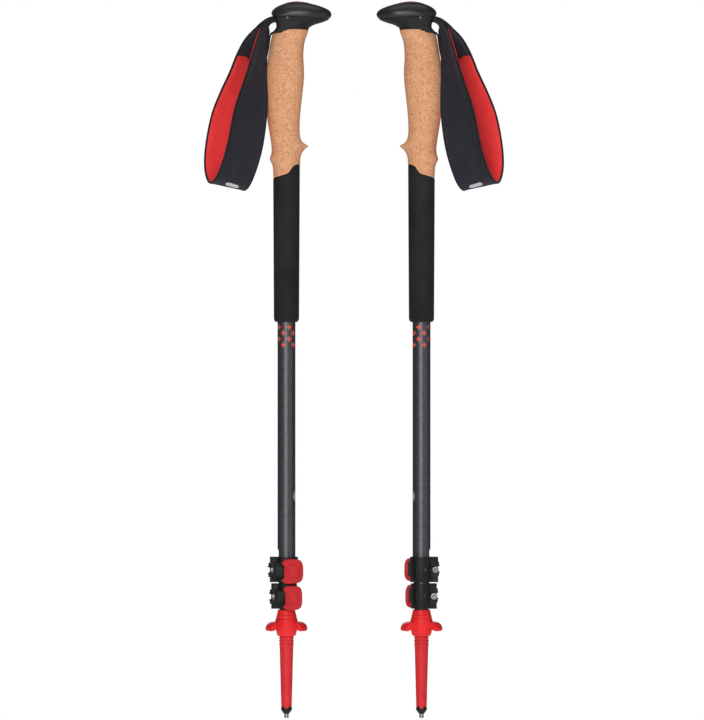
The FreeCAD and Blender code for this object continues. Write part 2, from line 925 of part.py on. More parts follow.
def make_basket(side):
    body = new_body(f"{side}_basket_body")
    bore = S.basket_bore
    revolve(
        body,
        f"{side}_basket_hub",
        [
            (bore, S.basket_bottom),
            (S.basket_bottom_radius, S.basket_bottom),
            (S.basket_waist_radius - 1.0, S.basket_bottom + 5.5),
            (S.basket_waist_radius, S.basket_waist),
            (S.basket_top_radius, S.basket_top),
            (bore, S.basket_top),
        ],
    )
    wing = revolve(
        body,
        f"{side}_wing",
        [
            (S.basket_waist_radius - 1.5, S.basket_waist - 0.4),
            (S.wing_radius - 3.2, S.basket_waist - 1.2),
            (S.wing_radius - 0.8, S.basket_waist - 3.2),
            (S.wing_radius, S.basket_waist - 7.4),
            (S.wing_radius - 1.6, S.basket_waist - 7.0),
            (S.basket_waist_radius - 1.5, S.basket_waist - 6.6),
        ],
        S.wing_angle,
    )
    pair = body.newObject("PartDesign::PolarPattern", f"{side}_wings")
    pair.Originals = [wing]
    axis = next(f for f in body.Origin.OriginFeatures if f.Role == "Z_Axis")
    pair.Axis = (axis, [""])
    pair.Angle = 360
    pair.Occurrences = 2
    body.Tip = pair
    keep(body, side, "basket")


def make_flex_tip(side):
    """The flexible tip: a socket for the lower tube, three thread ridges, a taper and a neck."""
    ridges = []
    for i in range(3):
        level = S.basket_bottom - 1.6 - S.ridge_pitch * i
        ridges.append((S.ridge_radius - 0.5, level))
        ridges.append((S.ridge_radius, level - 0.6))
        ridges.append((S.ridge_radius, level - 1.3))
        ridges.append((S.ridge_radius - 0.5, level - 1.9))
    body = turned_body(
        f"{side}_flex_tip_turned",
        [
            (S.swage_radius, S.swage_bottom),
            (S.swage_radius, S.swage_level - 1.4),
            (S.tip_socket_radius, S.swage_level - 1.4),
            *ridges,
            (S.tip_bottom_radius, S.tip_bottom),
            (S.tip_neck_radius, S.tip_bottom),
            (S.tip_neck_radius, S.tip_neck_bottom),
            (0, S.tip_neck_bottom),
            (0, S.swage_bottom),
        ],
    )
    keep(body, side, "flex_tip")


def make_tip_collar(side):
    body = new_body(f"{side}_tip_collar_body")
    crown = S.crown_radius
    revolve(
        body,
        f"{side}_tip_collar_turned",
        [
            (S.shank_radius, S.tip_neck_bottom),
            (S.tip_neck_radius, S.tip_neck_bottom),
            (S.tip_neck_radius, S.tip_bottom),
            (crown, S.tip_bottom),
            (crown, S.tip_bottom - 3.4),
            (S.carbide_radius + 0.6, S.collar_tip_bottom),
            (S.shank_radius, S.collar_tip_bottom),
        ],
    )
    drawing = sketch(body, f"{side}_tooth_outline", "XZ_Plane")
    draw_outline(
        drawing,
        [
            (-S.crown_tooth / 2, S.tip_bottom + 1),
            (0, S.tip_bottom - S.crown_tooth / 2),
            (S.crown_tooth / 2, S.tip_bottom + 1),
        ],
    )
    notch = body.newObject("PartDesign::Pocket", f"{side}_tooth_notch")
    notch.Profile = (drawing, [""])
    notch.Type = "ThroughAll"
    notch.Midplane = True
    pattern = body.newObject("PartDesign::PolarPattern", f"{side}_crown")
    pattern.Originals = [notch]
    axis = next(f for f in body.Origin.OriginFeatures if f.Role == "Z_Axis")
    pattern.Axis = (axis, [""])
    pattern.Angle = 90
    pattern.Occurrences = 2
    body.Tip = pattern
    keep(body, side, "tip_collar")


def make_carbide(side):
    body = turned_body(
        f"{side}_carbide_turned",
        [
            (0, S.tip_neck_bottom),
            (S.shank_radius, S.tip_neck_bottom),
            (S.shank_radius, S.carbide_top),
            (S.carbide_radius, S.carbide_top),
            (S.carbide_radius, S.carbide_bottom + 0.3),
            (S.carbide_radius - 0.3, S.carbide_bottom),
            (0, S.carbide_bottom + 0.9),
        ],
    )
    keep(body, side, "carbide_tip")


# ---- the pair ----------------------------------------------------------------------------


def make_pole(side):
    make_grip(side)
    make_head(side)
    make_strap(side)
    make_tubes(side)
    for clamp in CLAMPS:
        make_collar(side, clamp)
        make_bolt(side, clamp)
        make_barrel(side, clamp)
        make_lever(side, clamp)
        make_cover(side, clamp)
    make_basket(side)
    make_flex_tip(side)
    make_tip_collar(side)
    make_carbide(side)


def check_document():
    for thing in doc.Objects:
        if "Invalid" in thing.State or "Error" in thing.State:
            raise RuntimeError(f"{thing.Label} failed: {thing.State}")
    for label, piece in parts.items():
        if piece.Shape.isNull() or not piece.Shape.isValid():
            raise RuntimeError(f"{label} has no valid shape")
        if len(piece.Shape.Solids) != 1:
            raise RuntimeError(f"{label} has {len(piece.Shape.Solids)} solids")


def main():
    fill_sheet()
    for side in SIDES:
        make_pole(side)
    doc.recompute()
    check_document()
    os.makedirs("parts", exist_ok=True)
    for label, piece in parts.items():
        piece.Shape.exportStep(f"parts/{label}.step")
    print(len(parts), "parts")


main()
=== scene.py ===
"""Looks for a pair of collapsed trekking poles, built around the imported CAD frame.

Shapes are written in millimetres in one pole's own frame: Z runs up the tube, X points to the
nose of the grip, and Y points away from the viewer of the left pole. The right pole is the same
pole turned half a turn about Z and moved sideways by the spacing of the two tubes; only its
strap is mirrored.
"""

import math

import bmesh
import bpy
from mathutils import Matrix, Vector
from mathutils.bvhtree import BVHTree


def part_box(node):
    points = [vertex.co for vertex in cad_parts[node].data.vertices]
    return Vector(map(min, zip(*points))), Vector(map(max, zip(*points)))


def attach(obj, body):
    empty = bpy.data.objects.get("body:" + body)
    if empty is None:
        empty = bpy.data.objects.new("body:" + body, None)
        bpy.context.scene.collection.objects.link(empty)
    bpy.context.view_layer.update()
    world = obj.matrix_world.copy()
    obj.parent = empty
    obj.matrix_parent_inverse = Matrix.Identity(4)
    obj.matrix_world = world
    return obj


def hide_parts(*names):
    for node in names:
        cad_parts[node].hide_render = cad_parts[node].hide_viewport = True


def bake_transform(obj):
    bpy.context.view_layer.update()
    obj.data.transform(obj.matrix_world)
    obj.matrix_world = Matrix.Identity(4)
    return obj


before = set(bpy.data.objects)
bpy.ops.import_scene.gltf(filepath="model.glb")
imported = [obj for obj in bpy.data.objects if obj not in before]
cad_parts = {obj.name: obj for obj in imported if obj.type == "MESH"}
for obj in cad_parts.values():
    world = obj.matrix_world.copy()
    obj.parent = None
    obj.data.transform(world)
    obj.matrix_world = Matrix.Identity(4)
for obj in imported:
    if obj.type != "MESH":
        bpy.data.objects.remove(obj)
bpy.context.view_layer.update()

MM = 0.001
SAME_POINT = 1e-7
CLOTH_UV = "cloth"
SIDES = ("left", "right")


def extent(node):
    """Lowest and highest corner of a node of the left pole, in millimetres."""
    low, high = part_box(f"left_{node}")
    return low / MM, high / MM


# driving sizes, read from the frame
SPACING = (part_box("right_foam_sleeve")[0].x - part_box("left_foam_sleeve")[0].x) / MM
TUBE_RADIUS = extent("upper_tube")[1].y
MIDDLE_RADIUS = extent("middle_tube")[1].y
LOWER_RADIUS = extent("lower_tube")[1].y
FOAM_BOTTOM = extent("foam_sleeve")[0].z
CROWN_TOP = extent("tip_collar")[1].z


# ---- curves and meshes -------------------------------------------------------------------


def spline(rows, steps):
    """Catmull-Rom curve through rows of numbers, with that many steps between two rows."""
    rows = [tuple(float(n) for n in row) for row in rows]
    padded = [rows[0]] + rows + [rows[-1]]
    out = []
    for i in range(1, len(padded) - 2):
        p, q, r, s = padded[i - 1 : i + 3]
        for k in range(steps):
            t = k / steps
            out.append(tuple(
                0.5 * (2 * b + (c - a) * t + (2 * a - 5 * b + 4 * c - d) * t * t
                       + (3 * b - a - 3 * c + d) * t * t * t)
                for a, b, c, d in zip(p, q, r, s)
            ))
    out.append(rows[-1])
    return out


def smooth_step(low, high, value):
    t = min(max((value - low) / (high - low), 0.0), 1.0)
    return t * t * (3 - 2 * t)


def bell(value):
    return math.exp(-(value ** 2))


def read_profile(profile, level):
    """The value of a profile, (level, value) rows that go down in level, at one level."""
    for (top, first), (bottom, second) in zip(profile, profile[1:]):
        if level >= bottom:
            share = (top - level) / (top - bottom)
            return first + (second - first) * min(max(share, 0.0), 1.0)
    return profile[-1][1]


def oval_point(rear, front, half_width, turn, square=2.0):
    """A point of an oval between two places on X, at an angle from the front, in X and Y."""
    power = 2.0 / square
    c = math.cos(turn)
    s = math.sin(turn)
    x = (rear + front) / 2 + (front - rear) / 2 * math.copysign(abs(c) ** power, c)
    y = half_width * math.copysign(abs(s) ** power, s)
    return x, y


def full_turn(count):
    """Equally spaced angles round one turn."""
    return [2 * math.pi * i / count for i in range(count)]


def circle(radius, level, count):
    return [(radius * math.cos(a), radius * math.sin(a), level) for a in full_turn(count)]


def skin(rings, capped=True):
    """Points and faces of a surface through closed rings of equally many points."""
    count = len(rings[0])
    points = [p for ring in rings for p in ring]
    faces = []
    for i in range(len(rings) - 1):
        a = i * count
        b = a + count
        for j in range(count):
            k = (j + 1) % count
            faces.append((a + j, a + k, b + k, b + j))
    if capped:
        last = (len(rings) - 1) * count
        faces.append(tuple(reversed(range(count))))
        faces.append(tuple(last + j for j in range(count)))
    return points, faces


def add_patch(points, faces, patch):
    """Adds a patch's points and faces to lists that already hold others."""
    more, joined = patch
    faces += [tuple(v + len(points) for v in face) for face in joined]
    points += more


def to_pair(point, side):
    """A point of one pole's frame, in millimetres, as a place in the pair's frame, in metres."""
    x, y, z = point
    if side == "right":
        x = SPACING - x
        y = -y
    return Vector((x, y, z)) * MM


def new_object(name, points, faces, cloth=None):
    """A new object from points in metres; cloth lists a UV, also in metres, for each point."""
    mesh = bpy.data.meshes.new(name)
    mesh.from_pydata(points, [], faces)
    if cloth:
        layer = mesh.uv_layers.new(name=CLOTH_UV)
        for loop in mesh.loops:
            layer.data[loop.index].uv = cloth[loop.vertex_index]
    obj = bpy.data.objects.new(name, mesh)
    bpy.context.collection.objects.link(obj)
    return obj


def turn_outward(obj, angle, merge=False):
    """Turns a mesh's faces outward and shades it smooth up to an angle between faces."""
    shape = bmesh.new()
    shape.from_mesh(obj.data)
    if merge:
        bmesh.ops.remove_doubles(shape, verts=shape.verts, dist=SAME_POINT)
        bmesh.ops.dissolve_degenerate(shape, edges=shape.edges, dist=SAME_POINT)
    bmesh.ops.recalc_face_normals(shape, faces=shape.faces)
    shape.to_mesh(obj.data)
    shape.free()
    shade(obj, angle)


def build(side, name, points, faces, smooth=35):
    """A piece of one pole from points in the pole's frame, with doubled points merged."""
    obj = new_object(f"{side}_{name}", [to_pair(p, side) for p in points], faces)
    turn_outward(obj, smooth, merge=True)
    return obj


def build_cloth(side, name, path, rings, smooth):
    """A strip laid along a strap's path from rings of (row, sideways, outward) points."""
    points, faces = skin([[path.point(*place) for place in ring] for ring in rings])
    last = len(path.lengths) - 1
    cloth = [
        (path.lengths[int(min(row, last))] * MM, sideways * MM)
        for ring in rings
        for row, sideways, _ in ring
    ]
    obj = new_object(f"{side}_{name}", [to_pair(p, side) for p in points], faces, cloth)
    turn_outward(obj, smooth)
    return obj


def shade(obj, angle):
    for face in obj.data.polygons:
        face.use_smooth = True
    obj.data.set_sharp_from_angle(angle=math.radians(angle))


def apply_modifiers(obj):
    bpy.context.view_layer.update()
    graph = bpy.context.evaluated_depsgraph_get()
    made = bpy.data.meshes.new_from_object(obj.evaluated_get(graph))
    obj.modifiers.clear()
    old = obj.data
    obj.data = made
    made.name = old.name
    bpy.data.meshes.remove(old)


def dress(obj, look, slot, body, *replaced):
    """Gives a finished piece its material, its body and the CAD nodes it stands for."""
    if look is not None:
        obj.data.materials.append(look)
    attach(obj, body)
    if replaced:
        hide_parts(*replaced)
    return obj


def set_cloth_uv(obj, find):
    """Writes a cloth UV for each corner of a mesh; find(place) gives it, both in metres."""
    layer = obj.data.uv_layers.new(name=CLOTH_UV)
    for loop in obj.data.loops:
        layer.data[loop.index].uv = find(obj.data.vertices[loop.vertex_index].co)


# ---- materials ---------------------------------------------------------------------------


class Look:
    """A principled material and short ways to wire nodes into it."""

    def __init__(self, name, **sockets):
        self.material = bpy.data.materials.new(name)
        self.material.use_nodes = True
        self.nodes = self.material.node_tree.nodes
        self.links = self.material.node_tree.links
        self.shader = self.nodes["Principled BSDF"]
        for key, value in sockets.items():
            self.shader.inputs[key.replace("_", " ")].default_value = value
        self.place = self.nodes.new("ShaderNodeTexCoord").outputs["Object"]

    def use_cloth_uv(self):
        self.place = self.nodes.new("ShaderNodeUVMap").outputs["UV"]

    def feed(self, socket, value):
        """Sets a socket, or wires it when the value is another node's socket."""
        if isinstance(value, bpy.types.NodeSocket):
            self.links.new(value, socket)
        else:
            socket.default_value = value

    def add(self, kind, **inputs):
        node = self.nodes.new(f"ShaderNode{kind}")
        for key, value in inputs.items():
            self.feed(node.inputs[key.replace("_", " ")], value)
        return node

    def noise(self, scale, detail=4.0, roughness=0.6, place=None):
        node = self.add("TexNoise", Vector=place or self.place, Scale=scale, Detail=detail,
                        Roughness=roughness)
        return node.outputs["Fac"]

    def stretched(self, x, y, z):
        return self.add("Mapping", Vector=self.place, Scale=(x, y, z)).outputs["Vector"]

    def cells(self, scale, output="Color", randomness=1.0):
        node = self.add("TexVoronoi", Vector=self.place, Scale=scale, Randomness=randomness)
        return node.outputs[output]

    def wave(self, scale, direction, distortion=0.0):
        node = self.add("TexWave", Vector=self.place, Scale=scale, Distortion=distortion)
        node.bands_direction = direction
        return node.outputs["Fac"]

    def maths(self, operation, first, second):
        node = self.nodes.new("ShaderNodeMath")
        node.operation = operation
        for socket, value in zip(node.inputs, (first, second)):
            self.feed(socket, value)
        return node.outputs[0]

    def ramp(self, value, *stops):
        """Colours between (position, colour) stops; a colour may be one grey number."""
        node = self.nodes.new("ShaderNodeValToRGB")
        self.links.new(value, node.inputs[0])
        ends = node.color_ramp.elements
        while len(ends) < len(stops):
            ends.new(0.5)
        for element, (position, colour) in zip(ends, stops):
            element.position = position
            rgb = colour if isinstance(colour, tuple) else (colour,) * 3
            element.color = (*rgb, 1)
        return node.outputs["Color"]

    def mix(self, share, first, second):
        node = self.nodes.new("ShaderNodeMix")
        node.data_type = "RGBA"
        values = {"Factor": share, "A": first, "B": second}
        kinds = {"Factor": "VALUE", "A": "RGBA", "B": "RGBA"}
        for socket in node.inputs:
            if socket.name in values and socket.type == kinds[socket.name]:
                value = values[socket.name]
                self.feed(socket, (*value, 1) if isinstance(value, tuple) else value)
        return next(s for s in node.outputs if s.type == "RGBA")

    def colour(self, socket):
        self.links.new(socket, self.shader.inputs["Base Color"])
        return self

    def roughness(self, socket, low, high):
        spread = self.add("MapRange", Value=socket, To_Min=low, To_Max=high)
        self.links.new(spread.outputs[0], self.shader.inputs["Roughness"])
        return self

    def bump(self, height, distance, strength=1.0):
        """Bump of a depth in millimetres, added to any bump that is already there."""
        node = self.add("Bump", Height=height, Distance=distance * MM, Strength=strength)
        normal = self.shader.inputs["Normal"]
        if normal.is_linked:
            self.links.new(normal.links[0].from_socket, node.inputs["Normal"])
        self.links.new(node.outputs[0], normal)
        return self


def cork_look():
    """Agglomerated cork: pressed granules in several tans with a few dark bark specks."""
    look = Look("cork", Specular_IOR_Level=0.2)
    granule = look.ramp(
        look.cells(720),
        (0.05, (0.43, 0.168, 0.066)),
        (0.45, (0.64, 0.287, 0.134)),
        (0.95, (0.81, 0.435, 0.235)),
    )
    cloud = look.ramp(look.noise(95, 3), (0.3, (0.54, 0.232, 0.100)), (0.7, (0.73, 0.355, 0.178)))
    base = look.mix(0.45, granule, cloud)
    fine = look.ramp(look.noise(1900, 3), (0.34, 0.0), (0.62, 1.0))
    base = look.mix(look.maths("MULTIPLY", fine, 0.30), base, (0.86, 0.55, 0.36))
    seam = look.ramp(look.cells(720, "Distance"), (0.42, 0.0), (0.85, 1.0))
    base = look.mix(look.maths("MULTIPLY", seam, 0.45), base, (0.36, 0.14, 0.06))
    speck = look.ramp(look.noise(430, 2, 0.75), (0.685, 0.0), (0.72, 1.0))
    look.colour(look.mix(speck, base, (0.15, 0.045, 0.018)))
    look.roughness(look.noise(800), 0.6, 0.86)
    look.bump(look.cells(720, "Distance"), 0.12, 0.5)
    return look.bump(look.noise(2400), 0.06, 0.6).material


def foam_look():
    """Closed-cell foam: near black, skinned and faintly pored."""
    look = Look("foam", Specular_IOR_Level=0.22)
    tone = look.noise(60, 3)
    look.colour(look.ramp(tone, (0.3, (0.009, 0.0086, 0.0095)), (0.7, (0.017, 0.0162, 0.018))))
    look.roughness(look.noise(900), 0.68, 0.92)
    look.bump(look.cells(1500, "Distance"), 0.05, 0.7)
    return look.bump(look.noise(420), 0.05, 0.4).material


def tube_look():
    """Dark grey anodised aluminium with the faint lengthwise lines of drawing."""
    look = Look("anodised_tube", Metallic=0.8, Specular_Tint=(0.25, 0.25, 0.27, 1.0))
    drawn = look.noise(900, 3, 0.6, look.stretched(1, 1, 0.02))
    mottle = look.noise(240, 4)
    look.colour(look.ramp(mottle, (0.3, (0.074, 0.071, 0.080)), (0.7, (0.101, 0.097, 0.110))))
    look.roughness(drawn, 0.38, 0.48)
    return look.bump(drawn, 0.006, 0.6).material


def plastic_look(name, dark, light, rough, grain, depth, shine=0.2):
    """Moulded plastic: slight tone change, spark-eroded grain and a worn, uneven gloss."""
    look = Look(name, Specular_IOR_Level=shine)
    look.colour(look.ramp(look.noise(70, 3), (0.3, dark), (0.72, light)))
    look.roughness(look.noise(160, 5, 0.7), rough - 0.07, rough + 0.09)
    return look.bump(look.noise(grain, 2), depth, 0.6).material


def webbing_look(name, colours, scale=1.0):
    """Narrow woven webbing: ribs across the strap crossed by the warp's lengthwise ends."""
    look = Look(name, Sheen_Weight=0.1, Sheen_Roughness=0.4, Specular_IOR_Level=0.2)
    look.use_cloth_uv()
    rib = look.wave(300 * scale, "X", 0.4)
    end = look.wave(520 * scale, "Y", 0.4)
    weave = look.maths("MULTIPLY", rib, end)
    tone = look.maths("ADD", look.maths("MULTIPLY", weave, 0.6),
                      look.maths("MULTIPLY", look.noise(140, 3), 0.55))
    look.colour(look.ramp(tone, (0.2, colours[0]), (0.75, colours[1])))
    look.roughness(look.noise(420), 0.66, 0.88)
    look.bump(weave, 0.10, 0.6)
    return look.bump(look.noise(2600), 0.03, 0.5).material


def lining_look():
    """Red spacer mesh: small staggered knit cells over a brushed ground."""
    look = Look("red_lining", Sheen_Weight=0.2, Sheen_Roughness=0.35,
                Sheen_Tint=(1.0, 0.45, 0.4, 1.0))
    look.use_cloth_uv()
    knit = look.cells(820, "Distance", 0.18)
    tone = look.maths("ADD", look.maths("MULTIPLY", knit, 0.55),
                      look.maths("MULTIPLY", look.noise(110, 3), 0.5))
    look.colour(look.ramp(tone, (0.25, (0.84, 0.034, 0.034)), (0.8, (0.54, 0.013, 0.016))))
    look.roughness(look.noise(500), 0.7, 0.9)
    look.bump(look.maths("SUBTRACT", 1.0, knit), 0.14, 0.6)
    return look.bump(look.noise(2200), 0.03, 0.5).material


def steel_look(name, colour, rough):
    """Bright metal with faint turning marks."""
    look = Look(name, Base_Color=(*colour, 1.0), Metallic=1.0)
    turned = look.noise(1500, 3, 0.6, look.stretched(0.1, 0.1, 1))
    look.roughness(turned, rough - 0.06, rough + 0.12)
    return look.bump(turned, 0.01, 0.6).material


def print_look(name, colour, rough=0.45):
    """Pad-printed ink with slightly uneven cover."""
    look = Look(name, Roughness=rough)
    thin = tuple(channel * 0.86 for channel in colour)
    look.colour(look.ramp(look.noise(900, 4), (0.25, thin), (0.6, colour)))
    return look.bump(look.noise(1800), 0.004, 0.5).material


CORK = cork_look()
FOAM = foam_look()
TUBE = tube_look()
GLOSS_BLACK = plastic_look(
    "head_dome_black", (0.012, 0.0115, 0.013), (0.018, 0.0172, 0.019), 0.34, 900, 0.01, 0.36
)
MATTE_BLACK = plastic_look(
    "neck_black", (0.009, 0.0087, 0.0097), (0.015, 0.0145, 0.016), 0.6, 1600, 0.035
)
CLAMP_BLACK = plastic_look(
    "clamp_black", (0.007, 0.0066, 0.0074), (0.012, 0.0115, 0.013), 0.5, 1500, 0.025
)
COVER_RED = plastic_look(
    "cover_red", (0.44, 0.010, 0.015), (0.52, 0.015, 0.021), 0.44, 1300, 0.02, 0.14
)
BASKET_RED = plastic_look(
    "basket_red", (0.68, 0.013, 0.017), (0.78, 0.024, 0.026), 0.38, 1100, 0.02
)
TIP_RED = plastic_look(
    "tip_red", (0.56, 0.019, 0.023), (0.66, 0.029, 0.033), 0.5, 1300, 0.03
)
WEBBING = webbing_look("webbing", ((0.010, 0.010, 0.014), (0.026, 0.026, 0.036)))
BAND = webbing_look("strap_face", ((0.0105, 0.0105, 0.016), (0.025, 0.025, 0.037)), 1.4)
EDGE = webbing_look("strap_edge", ((0.006, 0.006, 0.008), (0.017, 0.017, 0.022)), 1.6)
LINING = lining_look()
PIPING = webbing_look("red_piping", ((0.50, 0.014, 0.018), (0.72, 0.030, 0.034)), 1.2)
THREAD = webbing_look("thread", ((0.02, 0.02, 0.026), (0.06, 0.06, 0.07)), 3.0)
REFLECTIVE = print_look("reflective_print", (0.50, 0.49, 0.54), 0.35)
MARK_RED = print_look("mark_red", (0.74, 0.085, 0.045))
MARK_GREY = print_look("mark_grey", (0.33, 0.33, 0.36))
STEEL = steel_look("steel", (0.21, 0.20, 0.19), 0.44)
DARK_STEEL = steel_look("dark_steel", (0.10, 0.097, 0.095), 0.45)
CARBIDE = steel_look("carbide", (0.30, 0.295, 0.30), 0.38)


# ---- cork, foam and head -----------------------------------------------------------------

CORK_FRONT = spline((
    (62.5, 19.6), (60, 19.0), (52, 16.3), (44, 15.3), (36, 15.2), (27, 15.8), (18, 15.6),
    (9, 14.7), (0, 13.7), (-9, 12.7), (-18, 12.0), (-30, 11.7), (-45, 12.0), (-60, 12.3),
    (-74, 12.1),
), 5)
CORK_REAR = spline((
    (62.5, -12.6), (59, -12.8), (51, -14.5), (37, -16.8), (26, -18.7), (16.5, -19.1),
    (-2, -18.3), (-20, -16.8), (-34, -14.5), (-43, -13.4), (-53, -13.4), (-62, -12.1),
    (-74, -11.7),
), 5)
CORK_SIDE = spline((
    (62.5, 12.9), (52, 12.7), (36, 13.7), (20, 14.4), (-2, 13.6), (-22, 12.6), (-36, 12.3),
    (-50, 12.3), (-62, 12.1), (-74, 11.9),
), 5)
HOOK_REACH = spline(((-27, 0), (-33, 0.6), (-37, 2.0), (-39.5, 4.6), (-41, 7.5), (-42.2, 6.6),
                     (-45, 3.5), (-50, 0.8), (-55, 0)), 4)
HOOK_SPREAD = 0.62
# the ridge that runs from the finger stop down and round to the heel
RIDGE_FRONT = -42.0
RIDGE_REAR = -53.0
RIDGE_SPREAD = 3.4
RIDGE_REACH = 0.35
HEEL_REACH = 1.6
TOP_JOINT = 61.0
SPLIT_JOINT = -64.0
JOINT_HIGH = 62.5
JOINT_STEP = 2.9
SPLIT_LINE = ((-13, -70.2), (-6, -68.4), (0.9, -66.6), (3.2, -64.6), (5.5, -60.6), (8.5, -58.6),
              (13, -57.2))
CORK_TURNS = 72


def split_level(x):
    """The level of the line between cork and foam, which rises toward the front."""
    return -read_profile([(-a, -b) for a, b in SPLIT_LINE], -x)


def top_level(x):
    """The level of the joint between head and cork, which drops in a step at the rear."""
    return JOINT_HIGH - JOINT_STEP + JOINT_STEP * smooth_step(-5.0, -0.5, x)


def cork_point(level, turn):
    """A point on the outside of the cork, with the finger stop and the heel's ridge."""
    x, y = oval_point(
        read_profile(CORK_REAR, level),
        read_profile(CORK_FRONT, level),
        read_profile(CORK_SIDE, level),
        turn,
        2.15,
    )
    off_front = min(turn, 2 * math.pi - turn)
    hook = read_profile(HOOK_REACH, level) * bell(off_front / HOOK_SPREAD)
    to_rear = (1 - math.cos(turn)) / 2
    ridge_level = RIDGE_FRONT + (RIDGE_REAR - RIDGE_FRONT) * to_rear
    ridge = RIDGE_REACH + (HEEL_REACH - RIDGE_REACH) * to_rear
    ridge *= bell((level - ridge_level) / RIDGE_SPREAD)
    length = math.hypot(x, y)
    return x + hook + ridge * x / length, y + ridge * y / length, level


def cork_ring(share, inset=0.0):
    """One ring of the cork, from its top edge at share 0 to its lower edge at share 1."""
    ring = []
    for turn in full_turn(CORK_TURNS):
        high = top_level(cork_point(TOP_JOINT, turn)[0])
        low = split_level(cork_point(SPLIT_JOINT, turn)[0])
        level = high + (low - high) * share
        x, y, _ = cork_point(level, turn)
        scale = 1 - inset / math.hypot(x, y)
        ring.append((x * scale, y * scale, level))
    return ring


def make_cork(side):
    rows = 120
    rings = [cork_ring(0.0, 9.0), cork_ring(0.0, 0.35), cork_ring(0.003)]
    rings += [cork_ring(i / rows) for i in range(1, rows)]
    rings += [cork_ring(0.998), cork_ring(1.0, 0.3), cork_ring(1.0, 3.6)]
    cork = build(side, "cork_handle", *skin(rings), smooth=50)
    dress(cork, CORK, "cork", f"{side}_grip", f"{side}_cork_grip")


def make_foam(side):
    """The lower sleeve: its top edge follows the slanted line, its lower edge is rounded."""
    top_radius = 12.0
    low_radius = 11.3
    taper_length = 140.0
    edge = 3.2
    gap = 0.12

    def ring(share, inset=0.0):
        points = []
        for turn in full_turn(CORK_TURNS):
            high = split_level(cork_point(SPLIT_JOINT, turn)[0]) - gap
            level = high + (FOAM_BOTTOM - high) * share
            radius = low_radius + (top_radius - low_radius) * (level - FOAM_BOTTOM) / taper_length
            radius -= inset
            points.append((radius * math.cos(turn), radius * math.sin(turn), level))
        return points

    rings = [ring(0.0, 3.5), ring(0.0, 0.5), ring(0.004, 0.08)]
    rings += [ring(i / 40) for i in range(1, 40)]
    sleeve_length = 131.0
    for i in range(9):
        turn = math.pi / 2 * i / 8
        share = 1 - edge * (1 - math.sin(turn)) / sleeve_length
        rings.append(ring(share, edge * 0.8 * (1 - math.cos(turn))))
    rings.append(ring(1.0, low_radius - TUBE_RADIUS - 0.05))
    foam = build(side, "foam_grip", *skin(rings), smooth=50)
    dress(foam, FOAM, "foam", f"{side}_grip", f"{side}_foam_sleeve")


# front x and level, rear x and level, half width, and how much of the rear step the row has
HEAD_ROWS = spline((
    (19.6, 62.5, -12.5, 62.5, 12.8, 1.0),
    (19.8, 63.4, -12.2, 63.2, 12.7, 0.9),
    (20.3, 64.7, -9.4, 65.0, 12.7, 0.35),
    (24.8, 67.3, -9.2, 67.4, 12.8, 0.0),
    (31.0, 69.2, -10.0, 70.4, 13.0, 0.0),
    (35.6, 70.9, -10.8, 72.7, 13.3, 0.0),
    (38.3, 72.6, -11.8, 74.4, 13.7, 0.0),
    (40.1, 75.3, -13.3, 76.2, 14.4, 0.0),
    (40.0, 78.0, -13.4, 78.2, 14.4, 0.0),
    (37.5, 80.8, -12.0, 80.8, 13.5, 0.0),
    (30.5, 83.9, -7.6, 83.9, 11.5, 0.0),
    (20.0, 86.8, 0.0, 86.8, 7.0, 0.0),
    (11.0, 88.2, 8.0, 88.2, 1.2, 0.0),
), 6)
CREASE_ROW = 36
CREASE_DEPTH = 0.35
CREASE_REAR = 74.4
CREASE_FRONT = 72.6
SLOT_LOW = 69.7
SLOT_HIGH = 74.9
SLOT_HALF = 9.0
TAIL_SHIFT = 4.0
TAIL_HALF = 5.8


def head_ring(row, shrink=0.0):
    """One ring of the head: oval in front, squarer at the rear of the neck than of the dome."""
    front_x, front_z, rear_x, rear_z, half, step = row
    square_rear = 5.5 - 2.9 * smooth_step(73.0, 78.0, rear_z)
    ring = []
    for turn in full_turn(CORK_TURNS):
        square = square_rear if math.cos(turn) < 0 else 2.2
        x, y = oval_point(rear_x + shrink, front_x - shrink, half - shrink, turn, square)
        share = (x - rear_x) / (front_x - rear_x)
        z = rear_z + (front_z - rear_z) * share
        ring.append((x, y, z + (top_level(x) - JOINT_HIGH) * step))
    return ring


def tail_shift(side):
    """How far the strap's tail sits to one side, in the pole's frame."""
    return TAIL_SHIFT if side == "left" else -TAIL_SHIFT


def make_head(side):
    """Dome and neck in one skin, with the groove between the glossy and the matte moulding."""
    rings = []
    for i, row in enumerate(HEAD_ROWS):
        rings.append(head_ring(row, CREASE_DEPTH if i == CREASE_ROW else 0.0))
    head = build(side, "head_shell", *skin(rings), smooth=32)
    whole = BVHTree.FromObject(head, bpy.context.evaluated_depsgraph_get())
    tail = tail_shift(side)
    channel_half = TAIL_HALF + 0.6
    for name, corners in (
        ("slot", ((-30, -SLOT_HALF, SLOT_LOW), (4, SLOT_HALF, SLOT_HIGH))),
        ("channel", ((-30, tail - channel_half, 59.0), (-6.0, tail + channel_half, 61.9))),
    ):
        cutter = block(side, f"{name}_cutter", *corners)
        cutting = head.modifiers.new(name, "BOOLEAN")
        cutting.operation = "DIFFERENCE"
        cutting.solver = "EXACT"
        cutting.object = cutter
        apply_modifiers(head)
        bpy.data.objects.remove(cutter)
    shade(head, 32)
    head.data.materials.clear()
    head.data.materials.append(GLOSS_BLACK)
    head.data.materials.append(MATTE_BLACK)
    for face in head.data.polygons:
        x = face.center.x / MM if side == "left" else SPACING - face.center.x / MM
        crease = CREASE_REAR + (CREASE_FRONT - CREASE_REAR) * smooth_step(-12, 38, x)
        face.material_index = 0 if face.center.z / MM > crease else 1
    dress(head, None, "black_plastic", f"{side}_grip", f"{side}_grip_head")
    make_inlay(side, whole)
    make_rivets(side)


